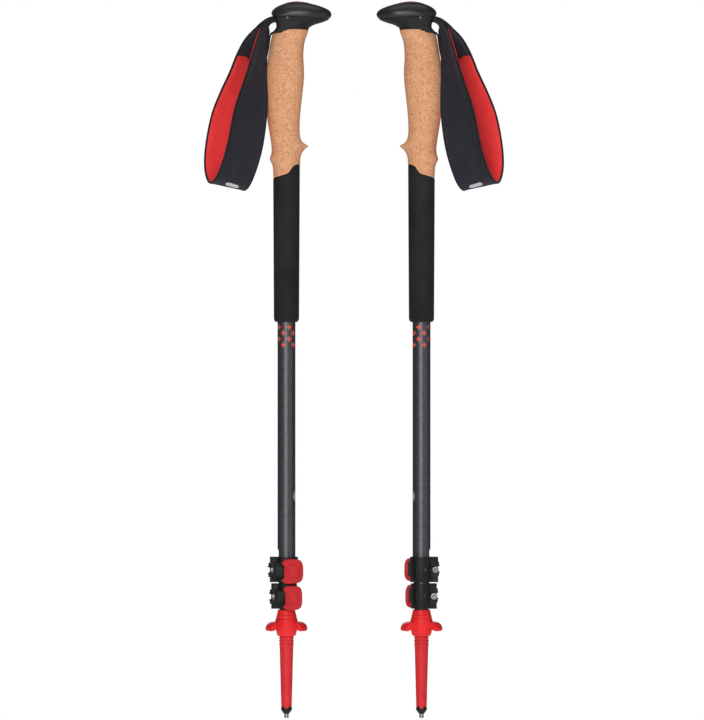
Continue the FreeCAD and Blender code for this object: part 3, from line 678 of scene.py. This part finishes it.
def make_rivets(side):
    """The two domed heads of the strap's pin, let into the sides of the neck."""
    low, high = extent("strap_pin")
    x = (low.x + high.x) / 2
    z = (low.z + high.z) / 2
    for name, sign, end in (("near", -1, low.y), ("far", 1, high.y)):
        rings = []
        for radius, out in ((1.3, -1.5), (1.3, -0.1), (1.2, 0.1), (0.8, 0.25), (0.25, 0.3)):
            rings.append([
                (x + radius * math.cos(a), end + sign * (out - 0.25), z + radius * math.sin(a))
                for a in full_turn(24)
            ])
        rivet = build(side, f"pin_head_{name}", *skin(rings), smooth=40)
        replaced = (f"{side}_strap_pin",) if name == "near" else ()
        dress(rivet, DARK_STEEL, "steel", f"{side}_grip", *replaced)


def block(side, name, low, high):
    """A plain box between two corners, used only to cut with."""
    (x0, y0, z0), (x1, y1, z1) = low, high
    rings = [
        [(x0, y0, z), (x1, y0, z), (x1, y1, z), (x0, y1, z)]
        for z in (z0, z1)
    ]
    return build(side, name, *skin(rings), smooth=1)


def make_inlay(side, head_tree):
    """A thin soft pad let into the top of the dome; it follows the dome's own surface."""
    centre_x = 9.4
    half_x = 10.6
    half_y = 4.4

    def on_head(scale, lift):
        ring = []
        for turn in full_turn(48):
            x, y = oval_point(
                centre_x - half_x * scale, centre_x + half_x * scale, half_y * scale, turn, 2.4
            )
            above = to_pair((x, y, 120), side)
            hit = head_tree.ray_cast(above, Vector((0, 0, -1)))[0]
            ring.append((x, y, hit.z / MM + lift))
        return ring

    rings = [on_head(1.0, -0.8), on_head(1.0, 0.02), on_head(0.96, 0.12)]
    rings += [on_head(scale, 0.16) for scale in (0.9, 0.75, 0.55, 0.3, 0.05)]
    inlay = build(side, "top_pad", *skin(rings), smooth=40)
    dress(inlay, COVER_RED, "red_plastic", f"{side}_grip", f"{side}_head_inlay")


# ---- wrist strap -------------------------------------------------------------------------

# centre x, y and level, half width, and the angle of the width from X
STRAP_ROUTE = (
    (-3.0, 0.0, 72.0, 8.5, 90),
    (-8.0, 0.0, 72.0, 8.5, 90),
    (-12.8, -0.3, 71.3, 8.5, 88),
    (-16.8, -1.4, 68.6, 8.5, 80),
    (-18.9, -3.6, 63.5, 8.6, 70),
    (-21.6, -8.8, 54.0, 9.6, 62),
    (-24.2, -13.4, 40.0, 10.8, 56),
    (-26.4, -17.4, 23.0, 13.6, 54),
    (-29.0, -21.0, 4.0, 16.0, 43),
    (-32.4, -23.4, -16.0, 17.0, 30),
    (-36.4, -23.2, -40.0, 17.0, 24),
    (-41.4, -18.4, -58.0, 17.0, 24),
    (-47.2, -10.2, -71.6, 17.0, 24),
    (-52.6, 0.0, -76.6, 17.0, 24),
    (-56.4, 10.2, -71.8, 17.0, 24),
    (-58.6, 18.4, -59.0, 17.0, 24),
    (-57.4, 23.2, -40.0, 17.0, 24),
    (-53.0, 23.6, -16.0, 17.0, 28),
    (-47.2, 21.2, 4.0, 16.0, 36),
    (-41.8, 17.5, 23.0, 13.6, 46),
    (-37.6, 13.4, 40.0, 10.8, 53),
    (-31.4, 8.6, 54.0, 9.6, 62),
    (-24.0, 3.8, 64.6, 8.6, 80),
    (-18.4, 1.2, 69.9, 8.5, 87),
    (-13.2, 0.0, 72.4, 8.5, 90),
    (-8.0, 0.0, 72.7, 8.5, 90),
    (-3.0, 0.0, 72.7, 8.5, 90),
)
STRAP_STEPS = 12
STRAP_SLOPE = -0.2
BAND_THICKNESS = 1.5
# corners of the band's outline that lie in its two bound edges
RIGHT_BINDING = range(2, 8)
LEFT_BINDING = range(11, 18)
LINING_INSET = 1.3
LINING_DEPTH = 1.7
BAND_OVERLAP = 0.05
SEAM_ROWS = (6 * STRAP_STEPS, 20 * STRAP_STEPS)


class StrapPath:
    """The strap's centre line with its width and outward directions, on one side."""

    def __init__(self, side):
        hand = 1 if side == "left" else -1
        rows = spline(STRAP_ROUTE, STRAP_STEPS)
        self.centres = [Vector((x, hand * y, z)) for x, y, z, _, _ in rows]
        self.halves = [row[3] for row in rows]
        self.across = []
        self.outward = []
        self.lengths = [0.0]
        for i, row in enumerate(rows):
            ahead = self.centres[min(i + 1, len(rows) - 1)]
            behind = self.centres[max(i - 1, 0)]
            along = (ahead - behind).normalized()
            turn = math.radians(row[4])
            across = Vector((
                math.cos(turn), hand * math.sin(turn), STRAP_SLOPE * math.cos(turn)
            ))
            across = (across - along * across.dot(along)).normalized()
            self.across.append(across)
            self.outward.append(along.cross(across) * hand)
            if i:
                step = (self.centres[i] - self.centres[i - 1]).length
                self.lengths.append(self.lengths[-1] + step)

    def point(self, row, sideways, out):
        """A point at a row, a distance along the width and a distance outward."""
        low = int(min(max(row, 0), len(self.centres) - 2))
        share = row - low
        a = self.centres[low] + self.across[low] * sideways + self.outward[low] * out
        b = (self.centres[low + 1] + self.across[low + 1] * sideways
             + self.outward[low + 1] * out)
        return a.lerp(b, share)


def band_outline(half):
    """Flat band with a bound edge: slightly thicker and rounded for the last millimetres."""
    thick = BAND_THICKNESS
    edge = 0.28
    right = [
        (half / 3, thick + 0.05),
        (half - 2.2, thick),
        (half - 1.9, thick + edge * 0.8),
        (half - 0.9, thick + edge),
        (half - 0.15, thick + edge * 0.7),
        (half, thick / 2),
        (half - 0.15, -edge * 0.6),
        (half - 0.9, -edge),
        (half - 1.3, 0.1),
        (half / 3, 0.1),
    ]
    return right + [(-sideways, out) for sideways, out in reversed(right)]


def make_band(side, path):
    """The webbing loop with its bound edges."""
    rings = [
        [(row, sideways, out) for sideways, out in band_outline(half)]
        for row, half in enumerate(path.halves)
    ]
    band = build_cloth(side, "strap_loop", path, rings, smooth=45)
    band.data.materials.append(BAND)
    band.data.materials.append(EDGE)
    count = len(rings[0])
    bound = {*RIGHT_BINDING, *LEFT_BINDING}
    for face in band.data.polygons:
        corners = {v % count for v in face.vertices}
        if len(face.vertices) == 4 and corners <= bound:
            face.material_index = 1
    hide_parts(f"{side}_strap_webbing", f"{side}_strap_band")
    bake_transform(band)


def make_lining(side, path):
    """The padded mesh lining, crowned across its width, with a curved seam at each end."""
    first, last = SEAM_ROWS
    rows = 110
    across = 18
    seam_dip = 1.8
    start_slant = 0.8
    end_slant = 1.6
    hem = 0.1

    def row_at(share, v):
        start = first + seam_dip * v * v - start_slant * v
        end = last - seam_dip * v * v - end_slant * v
        return start + (end - start) * share

    def lining_ring(i):
        share = i / rows
        rise = min(1.0, math.sqrt(max(0.0, min(i, rows - i) / 2.0)))
        ring = []
        for face_out in (True, False):
            for j in range(across + 1):
                v = -1 + 2 * j / across
                v = v if face_out else -v
                row = row_at(share, v)
                half = path.halves[int(row)] - LINING_INSET
                crown = (1 - abs(v) ** 5) ** 0.5 if face_out else 0
                depth = hem + (LINING_DEPTH - hem) * crown * rise
                ring.append((row, v * half, -depth if face_out else BAND_OVERLAP))
        return ring

    rings = [lining_ring(i) for i in range(rows + 1)]
    lining = build_cloth(side, "strap_padding", path, rings, smooth=50)
    dress(lining, LINING, "red_fabric", f"{side}_strap", f"{side}_strap_lining")


def thread_run(path, rows, sideways, out, pitch, length, radius):
    """Stitches along the strap, short six-sided dashes, as points and faces."""
    stitches = ([], [])
    distance = path.lengths[rows[0]]
    row = rows[0]
    while distance + length < path.lengths[rows[1]]:
        while path.lengths[row + 1] < distance + length / 2:
            row += 1
        centre = path.point(row, sideways(row), out)
        along = (path.centres[row + 1] - path.centres[row]).normalized()
        across = path.across[row]
        outward = path.outward[row]
        rings = []
        for end, size in ((-0.5, 0.4), (-0.3, 1), (0.3, 1), (0.5, 0.4)):
            ring = []
            for turn in full_turn(6):
                offset = across * (radius * size * math.cos(turn))
                offset += outward * (radius * size * math.sin(turn))
                ring.append(centre + along * (end * length) + offset)
            rings.append(ring)
        add_patch(*stitches, skin(rings))
        distance += pitch
    return stitches


def make_stitching(side, path):
    """Two rows of lockstitch along the outer face, one near each edge."""
    rows = (5 * STRAP_STEPS, 21 * STRAP_STEPS)
    stitches = ([], [])
    for sign in (-1, 1):
        add_patch(*stitches, thread_run(
            path, rows, lambda row: sign * (path.halves[row] - 3.0), BAND_THICKNESS + 0.04,
            pitch=3.0, length=2.2, radius=0.16,
        ))
    stitching = build(side, "strap_stitching", *stitches, smooth=50)
    set_cloth_uv(stitching, lambda co: (co.z, co.x + co.y))
    dress(stitching, THREAD, "webbing", f"{side}_strap")


def make_piping(side, path):
    """The red cord of the lining's end, which shows along one edge of the near strand."""
    rings = []
    first = 5 * STRAP_STEPS - 4
    last = int(6.6 * STRAP_STEPS)
    count = last - first
    for i in range(count + 1):
        row = first + i
        radius = 0.38 * math.sin(math.pi * min(max(i / count, 0.04), 0.96)) ** 0.35
        sideways = -path.halves[row] - 0.1
        rings.append([
            path.point(row, sideways + radius * math.cos(a), 0.6 + radius * math.sin(a))
            for a in full_turn(10)
        ])
    piping = build(side, "strap_piping", *skin(rings), smooth=60)
    set_cloth_uv(piping, lambda co: (co.z, co.x + co.y))
    dress(piping, PIPING, "red_fabric", f"{side}_strap")


def make_reflective_bar(side, path):
    """A plain slanted bar of reflective print on the outer face, near the strap's lowest point."""
    out = BAND_THICKNESS + 0.11
    start = 12.42 * STRAP_STEPS
    count = 12
    rings = []
    for i in range(count + 1):
        share = i / count
        sideways = -5.5 + 14.0 * share
        row = start + 1.6 * share
        reach = 2.3 * min(1.0, 8 * share, 8 * (1 - share)) + 0.05
        rings.append([
            path.point(row + reach * w, sideways, level)
            for w, level in ((-1, out), (0, out), (1, out), (1, out - 0.1), (0, out - 0.1),
                             (-1, out - 0.1))
        ])
    bar = build(side, "strap_print", *skin(rings), smooth=50)
    dress(bar, REFLECTIVE, "grey_alloy", f"{side}_strap")


def make_tail(side):
    """The free end of the webbing: out of the lower slot and down behind the cork."""
    shift = tail_shift(side)
    half = TAIL_HALF
    thick = 1.2
    route = spline((
        (-6.4, 60.7), (-10.5, 60.7), (-13.0, 60.2), (-14.6, 58.2), (-15.3, 54.0),
        (-16.3, 47.0), (-17.7, 40.0), (-18.7, 36.6),
    ), 6)
    outline = (
        (-half, -0.6), (-half + 0.5, -1), (half - 0.5, -1), (half, -0.6),
        (half, 0.6), (half - 0.5, 1), (-half + 0.5, 1), (-half, 0.6),
    )
    rings = []
    for i, (x, z) in enumerate(route):
        ahead = route[min(i + 1, len(route) - 1)]
        behind = route[max(i - 1, 0)]
        run = Vector((ahead[0] - behind[0], ahead[1] - behind[1])).normalized()
        out = Vector((run.y, -run.x)) * (thick / 2)
        rings.append([(x + out.x * t, shift + w, z + out.y * t) for w, t in outline])
    tail = build(side, "strap_tail", *skin(rings), smooth=50)
    set_cloth_uv(tail, lambda co: (co.z, co.y))
    dress(tail, WEBBING, "webbing", f"{side}_grip", f"{side}_strap_root")


def make_strap(side):
    path = StrapPath(side)
    make_band(side, path)
    make_lining(side, path)
    make_stitching(side, path)
    make_piping(side, path)
    make_reflective_bar(side, path)
    make_tail(side)


# ---- tubes, clamps and tip ---------------------------------------------------------------


PRINT_LIFT = 0.035


def wrapped(outline, radius, turn, level, depth=0.06, rows=6):
    """A star-shaped patch of print bent round a tube: points and faces of a thin closed skin."""
    outer = radius + PRINT_LIFT
    rings = []
    for share in [i / rows for i in range(rows, 0, -1)] + [0.04]:
        rings.append([
            (
                outer * math.cos(turn + u * share / outer),
                outer * math.sin(turn + u * share / outer),
                level + v * share,
            )
            for u, v in outline
        ])
    inner = outer - depth
    under = [
        [(x * inner / outer, y * inner / outer, z) for x, y, z in ring]
        for ring in reversed(rings)
    ]
    return skin(under + rings)


def plus_outline(reach, arm, waist):
    """A plus sign with thin arm ends that thicken toward its centre."""
    outline = []
    for k in range(4):
        turn = math.pi / 2 * k
        c = math.cos(turn)
        s = math.sin(turn)
        for u, v in ((reach, -arm), (reach, arm), (waist, waist)):
            outline.append((u * c - v * s, u * s + v * c))
    return outline


MARK_ROWS = 4
MARKS_ROUND = 5
MARK_START = 4.6
MARK_PITCH = 5.3
SPOT_RADIUS = 5.4
SPOT_LEVEL = -355.0


def make_marks(side):
    """Printed marks on the upper tube: four staggered rows of plus signs and a plain spot."""
    red = ([], [])
    sign = plus_outline(2.45, 0.4, 0.72)
    first_turn = math.radians(-74)
    for row in range(MARK_ROWS):
        level = FOAM_BOTTOM - MARK_START - MARK_PITCH * row
        stagger = math.pi / MARKS_ROUND * (row % 2)
        for turn in full_turn(MARKS_ROUND):
            add_patch(*red, wrapped(sign, TUBE_RADIUS, first_turn + stagger + turn, level))
    marks = build(side, "tube_marks", *red, smooth=60)
    dress(marks, MARK_RED, "red_plastic", f"{side}_grip")

    spot = [(x, y) for x, y, _ in circle(SPOT_RADIUS, 0, 40)]
    patch = wrapped(spot, TUBE_RADIUS, 0.0, SPOT_LEVEL, rows=12)
    disc = build(side, "tube_spot", *patch, smooth=60)
    dress(disc, MARK_GREY, "grey_alloy", f"{side}_grip")


def make_scale(side, stage, radius, top, bottom):
    """Plain length ticks down the front of a sliding tube, each fifth one longer."""
    ticks = ([], [])
    pitch = 10.0
    thick = 0.22
    points_a_side = 4
    for i in range(int((top - bottom) / pitch)):
        half = 3.4 if i % 5 == 0 else 1.7
        bar = [(-half, -thick), (half, -thick), (half, thick), (-half, thick)]
        dense = []
        for start, end in zip(bar, bar[1:] + bar[:1]):
            side_points = (k / points_a_side for k in range(points_a_side))
            dense += [tuple(Vector(start).lerp(Vector(end), share)) for share in side_points]
        add_patch(*ticks, wrapped(dense, radius, -math.pi / 2, top - pitch * i, rows=4))
    scale = build(side, f"{stage}_scale", *ticks, smooth=60)
    dress(scale, MARK_GREY, "grey_alloy", f"{side}_{stage}")


def soften(node, width, look, slot, body):
    """A copy of a CAD node with its edges rounded over, which stands for the node."""
    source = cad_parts[node]
    obj = bpy.data.objects.new(f"{node}_moulded", source.data.copy())
    obj.data.materials.clear()
    bpy.context.collection.objects.link(obj)
    shape = bmesh.new()
    shape.from_mesh(obj.data)
    bmesh.ops.remove_doubles(shape, verts=shape.verts, dist=2e-6)
    bmesh.ops.dissolve_limit(
        shape, angle_limit=math.radians(1.0), verts=shape.verts, edges=shape.edges
    )
    shape.to_mesh(obj.data)
    shape.free()
    bevel = obj.modifiers.new("edge", "BEVEL")
    bevel.width = width * MM
    bevel.segments = 2
    bevel.limit_method = "ANGLE"
    bevel.angle_limit = math.radians(40)
    bevel.use_clamp_overlap = True
    apply_modifiers(obj)
    shade(obj, 38)
    dress(obj, look, slot, body, node)
    return obj


# the cover from the front: distance across from where its arm joins it, and up from its middle
COVER_OUTLINE = (
    (-4.4, 8.4), (-2.6, 10.3), (0.2, 11.7), (4.9, 11.95), (9.6, 11.7), (13.4, 10.1), (15.2, 5.9),
    (15.5, 1.0), (15.4, -4.1), (14.4, -8.1), (12.0, -10.2), (8.4, -11.2), (3.1, -11.8),
    (-0.8, -11.2), (-4.2, -8.9), (-3.4, -7.5), (-2.1, -5.9), (-2.0, -3.0), (-2.0, 2.6),
    (-2.1, 5.0), (-3.2, 6.8),
)
COVER_LEFT = 4.4
COVER_WIDTH = 19.9
COVER_HEIGHT = 23.7
COVER_CENTRE = 10.2
COVER_SHOULDER = 0.9
COVER_SKIN = 0.05
COVER_DOME = 0.06
GROOVES = (0.72, 0.52)
GROOVE_DEPTH = 0.24
GROOVE_SPREAD = 0.024


def make_cover(side, stage, body):
    """The red pad on a clamp's lever: pillowed, with two shallow square grooves."""
    low, high = extent(f"{stage}_lever_cover")
    across = (high.x - low.x) / COVER_WIDTH
    tall = (high.z - low.z) / COVER_HEIGHT
    middle_z = (low.z + high.z) / 2
    centre_x = low.x + COVER_CENTRE * across
    depth = high.y - low.y
    outline = [
        (low.x + (u + COVER_LEFT) * across, middle_z + v * tall)
        for u, v in spline(COVER_OUTLINE + COVER_OUTLINE[:1], 5)[:-1]
    ]

    def ring(scale, y):
        return [(centre_x + (x - centre_x) * scale, y, middle_z + (z - middle_z) * scale)
                for x, z in outline]

    rings = [ring(0.96, high.y), ring(1.0, high.y - 0.35), ring(1.0, high.y - depth * 0.5)]
    for i in range(1, 7):
        turn = math.pi / 2 * i / 6
        scale = COVER_SHOULDER + (1 - COVER_SHOULDER) * math.cos(turn)
        rings.append(ring(scale, low.y + depth * 0.5 * (1 - math.sin(turn)) + COVER_SKIN))
    for i in range(1, 33):
        scale = COVER_SHOULDER * (1 - i / 33)
        dome = COVER_DOME * (1 - scale * scale)
        groove = GROOVE_DEPTH * max(bell((scale - at) / GROOVE_SPREAD) for at in GROOVES)
        rings.append(ring(scale, low.y + COVER_SKIN - dome + groove))
    cover = build(side, f"{stage}_cover_pad", *skin(rings), smooth=40)
    dress(cover, COVER_RED, "red_plastic", body, f"{side}_{stage}_lever_cover")


def make_clamp(side, stage, holder):
    lever_body = f"{side}_{stage}_lever"
    soften(f"{side}_{stage}_collar", 0.45, CLAMP_BLACK, "black_plastic", f"{side}_{holder}")
    soften(f"{side}_{stage}_lever", 0.4, CLAMP_BLACK, "black_plastic", lever_body)
    soften(f"{side}_{stage}_bolt", 0.25, STEEL, "steel", f"{side}_{stage}_bolt")
    make_cover(side, stage, lever_body)


HUB_RADIUS = 10.1
HUB_TAPER = 0.8
WING_ANGLE = math.radians(55)
WING_START = 10.8
WING_TALL = 7.9
WING_DROOP = 6.2
WING_CORNER = 0.8
WING_LIP = 0.7
WING_HOLLOW = 5.2
# where the wing's upper side ends and where its rim ends, as shares of the wing's outline
WING_TOP_SHARE = 0.5
WING_RIM_SHARE = 0.62


def wing_point(share, reach, top):
    """Radius and level on the outline of a wing: upper side, rim, then the hollow below."""
    if share <= WING_TOP_SHARE:
        quarter = math.pi / 2 * share / WING_TOP_SHARE
        return (
            HUB_RADIUS + (reach - HUB_RADIUS) * math.sin(quarter) ** 0.75,
            top - WING_DROOP * (1 - math.cos(quarter)),
        )
    if share <= WING_RIM_SHARE:
        part = (share - WING_TOP_SHARE) / (WING_RIM_SHARE - WING_TOP_SHARE)
        return (
            reach - WING_LIP * part * part,
            top - WING_DROOP - (WING_TALL - WING_DROOP) * math.sqrt(part),
        )
    part = (share - WING_RIM_SHARE) / (1 - WING_RIM_SHARE)
    hollow = math.sin(math.pi / 2 * min(1, part * 1.4)) ** 1.6
    inner = HUB_RADIUS + 0.1
    return (
        reach - WING_LIP - (reach - inner) * part,
        top - WING_TALL + WING_HOLLOW * hollow,
    )


def make_basket(side):
    """The narrow snow basket: a ridged cone with a drooping half-umbrella wing on each side."""
    low, high = extent("basket")
    # radius and distance below the top, or above the bottom
    wall = (
        (7.3, 0), (7.7, 0.3), (8.2, 2.6), (8.64, 4.9), (9.06, 5.4), (8.98, 5.9), (9.38, 8.0),
        (9.86, 8.5), (9.78, 9.0), (10.05, 10.4),
    )
    foot = ((9.3, 4.7), (8.9, 2.7), (8.3, 1.0), (7.6, 0.2), (7.0, 0))
    bore = [(6.95, low.z), (6.9, low.z + 1), (6.9, high.z - 1), (6.95, high.z)]
    steps = 14
    turns = full_turn(144)
    wing_top = high.z - WING_START
    rings = [[] for _ in range(len(wall) + steps + len(foot) + len(bore))]
    for turn in turns:
        off = abs(math.remainder(turn, math.pi))
        wing = 1 - smooth_step(WING_ANGLE - 0.16, WING_ANGLE, off)
        reach = high.x - WING_CORNER * smooth_step(WING_ANGLE * 0.5, WING_ANGLE, off)
        column = [(radius, high.z - drop) for radius, drop in wall]
        for k in range(steps):
            share = k / (steps - 1)
            hub = Vector((HUB_RADIUS - HUB_TAPER * share, wing_top - WING_TALL * share))
            column.append(hub.lerp(Vector(wing_point(share, reach, wing_top)), wing))
        column += [(radius, low.z + rise) for radius, rise in foot]
        column += bore
        for ring, (radius, level) in zip(rings, column):
            ring.append((radius * math.cos(turn), radius * math.sin(turn), level))
    rings.append(rings[0])
    basket = build(side, "snow_basket", *skin(rings, capped=False), smooth=40)
    dress(basket, BASKET_RED, "red_plastic", f"{side}_basket", f"{side}_basket")


def make_flex_tip(side):
    """The tapered flexible tip with its rounded top edge and three screw ridges."""
    low, high = extent("flex_tip")
    top_radius = 6.35
    top_edge = 0.3
    body_radius = 6.1
    low_radius = 4.72
    socket_radius = 4.05
    point_radius = 1.6
    first_ridge = -481.9
    pitch = 2.9
    ridges = 3
    ridge_height = 0.5
    ridge_half = 0.75
    step = 0.36
    taper_start = first_ridge - 2.6 * pitch
    profile = [
        (LOWER_RADIUS + 0.02, high.z),
        (top_radius - top_edge, high.z),
        (top_radius, high.z - 0.5),
    ]
    for i in range(int((high.z - CROWN_TOP) / step) - 3):
        level = high.z - 1 - step * i
        taper = (taper_start - level) / (taper_start - CROWN_TOP)
        radius = body_radius + (low_radius - body_radius) * min(max(taper, 0.0), 1.0)
        if level > taper_start:
            for k in range(ridges):
                away = (level - (first_ridge - k * pitch)) / ridge_half
                radius += ridge_height * bell(away * away)
        profile.append((radius, level))
    profile += [
        (low_radius, CROWN_TOP + 0.3),
        (low_radius - 0.05, CROWN_TOP - 2.6),
        (socket_radius, CROWN_TOP - 2.8),
        (socket_radius, low.z),
        (point_radius, low.z),
    ]
    rings = [circle(radius, level, 72) for radius, level in profile]
    tip = build(side, "flexible_tip", *skin(rings), smooth=40)
    dress(tip, TIP_RED, "red_rubber", f"{side}_lower", f"{side}_flex_tip")


def make_tip_collar(side):
    """The black crown that holds the point: its upper rim rises between four dips."""
    low, high = extent("tip_collar")
    count = 72
    radius = high.x
    dip = 1.0
    rim = [(radius - 0.28, 0.0), (radius - 0.06, -0.08), (radius, -0.3)]
    wall = [(radius, high.z - 3.0), (radius - 0.12, high.z - 3.5), (radius - 0.6, high.z - 4.1)]
    point = [(2.75, low.z + 0.35), (2.45, low.z + 0.05), (1.55, low.z)]
    rings = []
    for r, drop in rim:
        rings.append([
            (x, y, high.z + drop - dip * (1 + math.cos(4 * math.atan2(y, x))))
            for x, y, _ in circle(r, 0, count)
        ])
    rings += [circle(r, z, count) for r, z in wall + point]
    collar = build(side, "tip_crown", *skin(rings), smooth=40)
    dress(collar, CLAMP_BLACK, "black_plastic", f"{side}_lower", f"{side}_tip_collar")


CAD_LOOKS = {
    "upper_tube": TUBE, "middle_tube": TUBE, "lower_tube": TUBE,
    "upper_barrel": DARK_STEEL, "lower_barrel": STEEL,
    "middle_bush": CLAMP_BLACK, "lower_bush": CLAMP_BLACK,
    "grip_core": CLAMP_BLACK, "strap_wedge": CLAMP_BLACK, "carbide_tip": CARBIDE,
}


def dress_cad_nodes(side):
    """The pieces whose CAD shape is already right get only a better material."""
    for node, look in CAD_LOOKS.items():
        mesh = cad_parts[f"{side}_{node}"].data
        mesh.materials.clear()
        mesh.materials.append(look)


def make_pole(side):
    make_cork(side)
    make_foam(side)
    make_head(side)
    make_strap(side)
    make_marks(side)
    make_scale(side, "middle", MIDDLE_RADIUS, -50.0, -400.0)
    make_scale(side, "lower", LOWER_RADIUS, -80.0, -440.0)
    make_clamp(side, "upper", "grip")
    make_clamp(side, "lower", "middle")
    make_basket(side)
    make_flex_tip(side)
    make_tip_collar(side)
    dress_cad_nodes(side)


# ---- studio ------------------------------------------------------------------------------


ROOM_LIGHT = 0.12
FLOOR_RADIUS = 6000.0
FLOOR_LEVEL = -1450.0


def make_camera():
    """A long lens straight at the front of the pair, level with the middle of the poles."""
    data = bpy.data.cameras.new("camera")
    data.sensor_width = 36
    data.lens = 200
    middle_x = 0.0587
    middle_z = -0.2330
    picture_height = 0.6451
    camera = bpy.data.objects.new("camera", data)
    distance = picture_height * data.lens / data.sensor_width
    camera.location = (middle_x, -distance, middle_z)
    camera.rotation_euler = (math.pi / 2, 0, 0)
    data.clip_end = 30
    bpy.context.collection.objects.link(camera)
    bpy.context.scene.camera = camera


def make_light(name, place, target, width, height, watts):
    data = bpy.data.lights.new(name, "AREA")
    data.shape = "RECTANGLE"
    data.size = width
    data.size_y = height
    data.energy = watts
    light = bpy.data.objects.new(name, data)
    light.location = place
    light.rotation_euler = (Vector(target) - Vector(place)).to_track_quat("-Z", "Y").to_euler()
    bpy.context.collection.objects.link(light)


def make_world():
    """A white backdrop that lights the object like a softly lit grey room."""
    world = bpy.data.worlds.new("studio")
    world.use_nodes = True
    nodes = world.node_tree.nodes
    links = world.node_tree.links
    background = nodes["Background"]
    path = nodes.new("ShaderNodeLightPath")
    strength = nodes.new("ShaderNodeMapRange")
    strength.inputs["To Min"].default_value = ROOM_LIGHT
    strength.inputs["To Max"].default_value = 1.0
    links.new(path.outputs["Is Camera Ray"], strength.inputs["Value"])
    links.new(strength.outputs[0], background.inputs["Strength"])
    background.inputs["Color"].default_value = (1.0, 1.0, 1.0, 1)
    bpy.context.scene.world = world
    bpy.context.scene.view_settings.view_transform = "Standard"


def make_studio():
    target = (0.06, 0, -0.23)
    make_light("key", (-0.3, -2.9, 0.3), target, 1.0, 2.2, 60)
    make_light("fill", (2.3, -1.6, 0.1), target, 1.2, 2.0, 9)
    make_light("top", (0.1, -0.3, 2.0), target, 2.0, 1.6, 14)
    make_light("rear", (-0.4, 2.6, 0.4), target, 1.6, 2.2, 9)
    make_world()

    floor_look = Look("floor", Roughness=0.7, Emission_Color=(1, 1, 1, 1),
                      Emission_Strength=0.45)
    floor_look.colour(floor_look.ramp(floor_look.noise(3), (0.3, 0.84), (0.7, 0.88)))
    rim = circle(FLOOR_RADIUS, FLOOR_LEVEL, 96)
    floor = new_object("floor", [Vector(p) * MM for p in rim], [tuple(range(len(rim)))])
    floor.data.materials.append(floor_look.material)


make_camera()
for pole_side in SIDES:
    make_pole(pole_side)
make_studio()
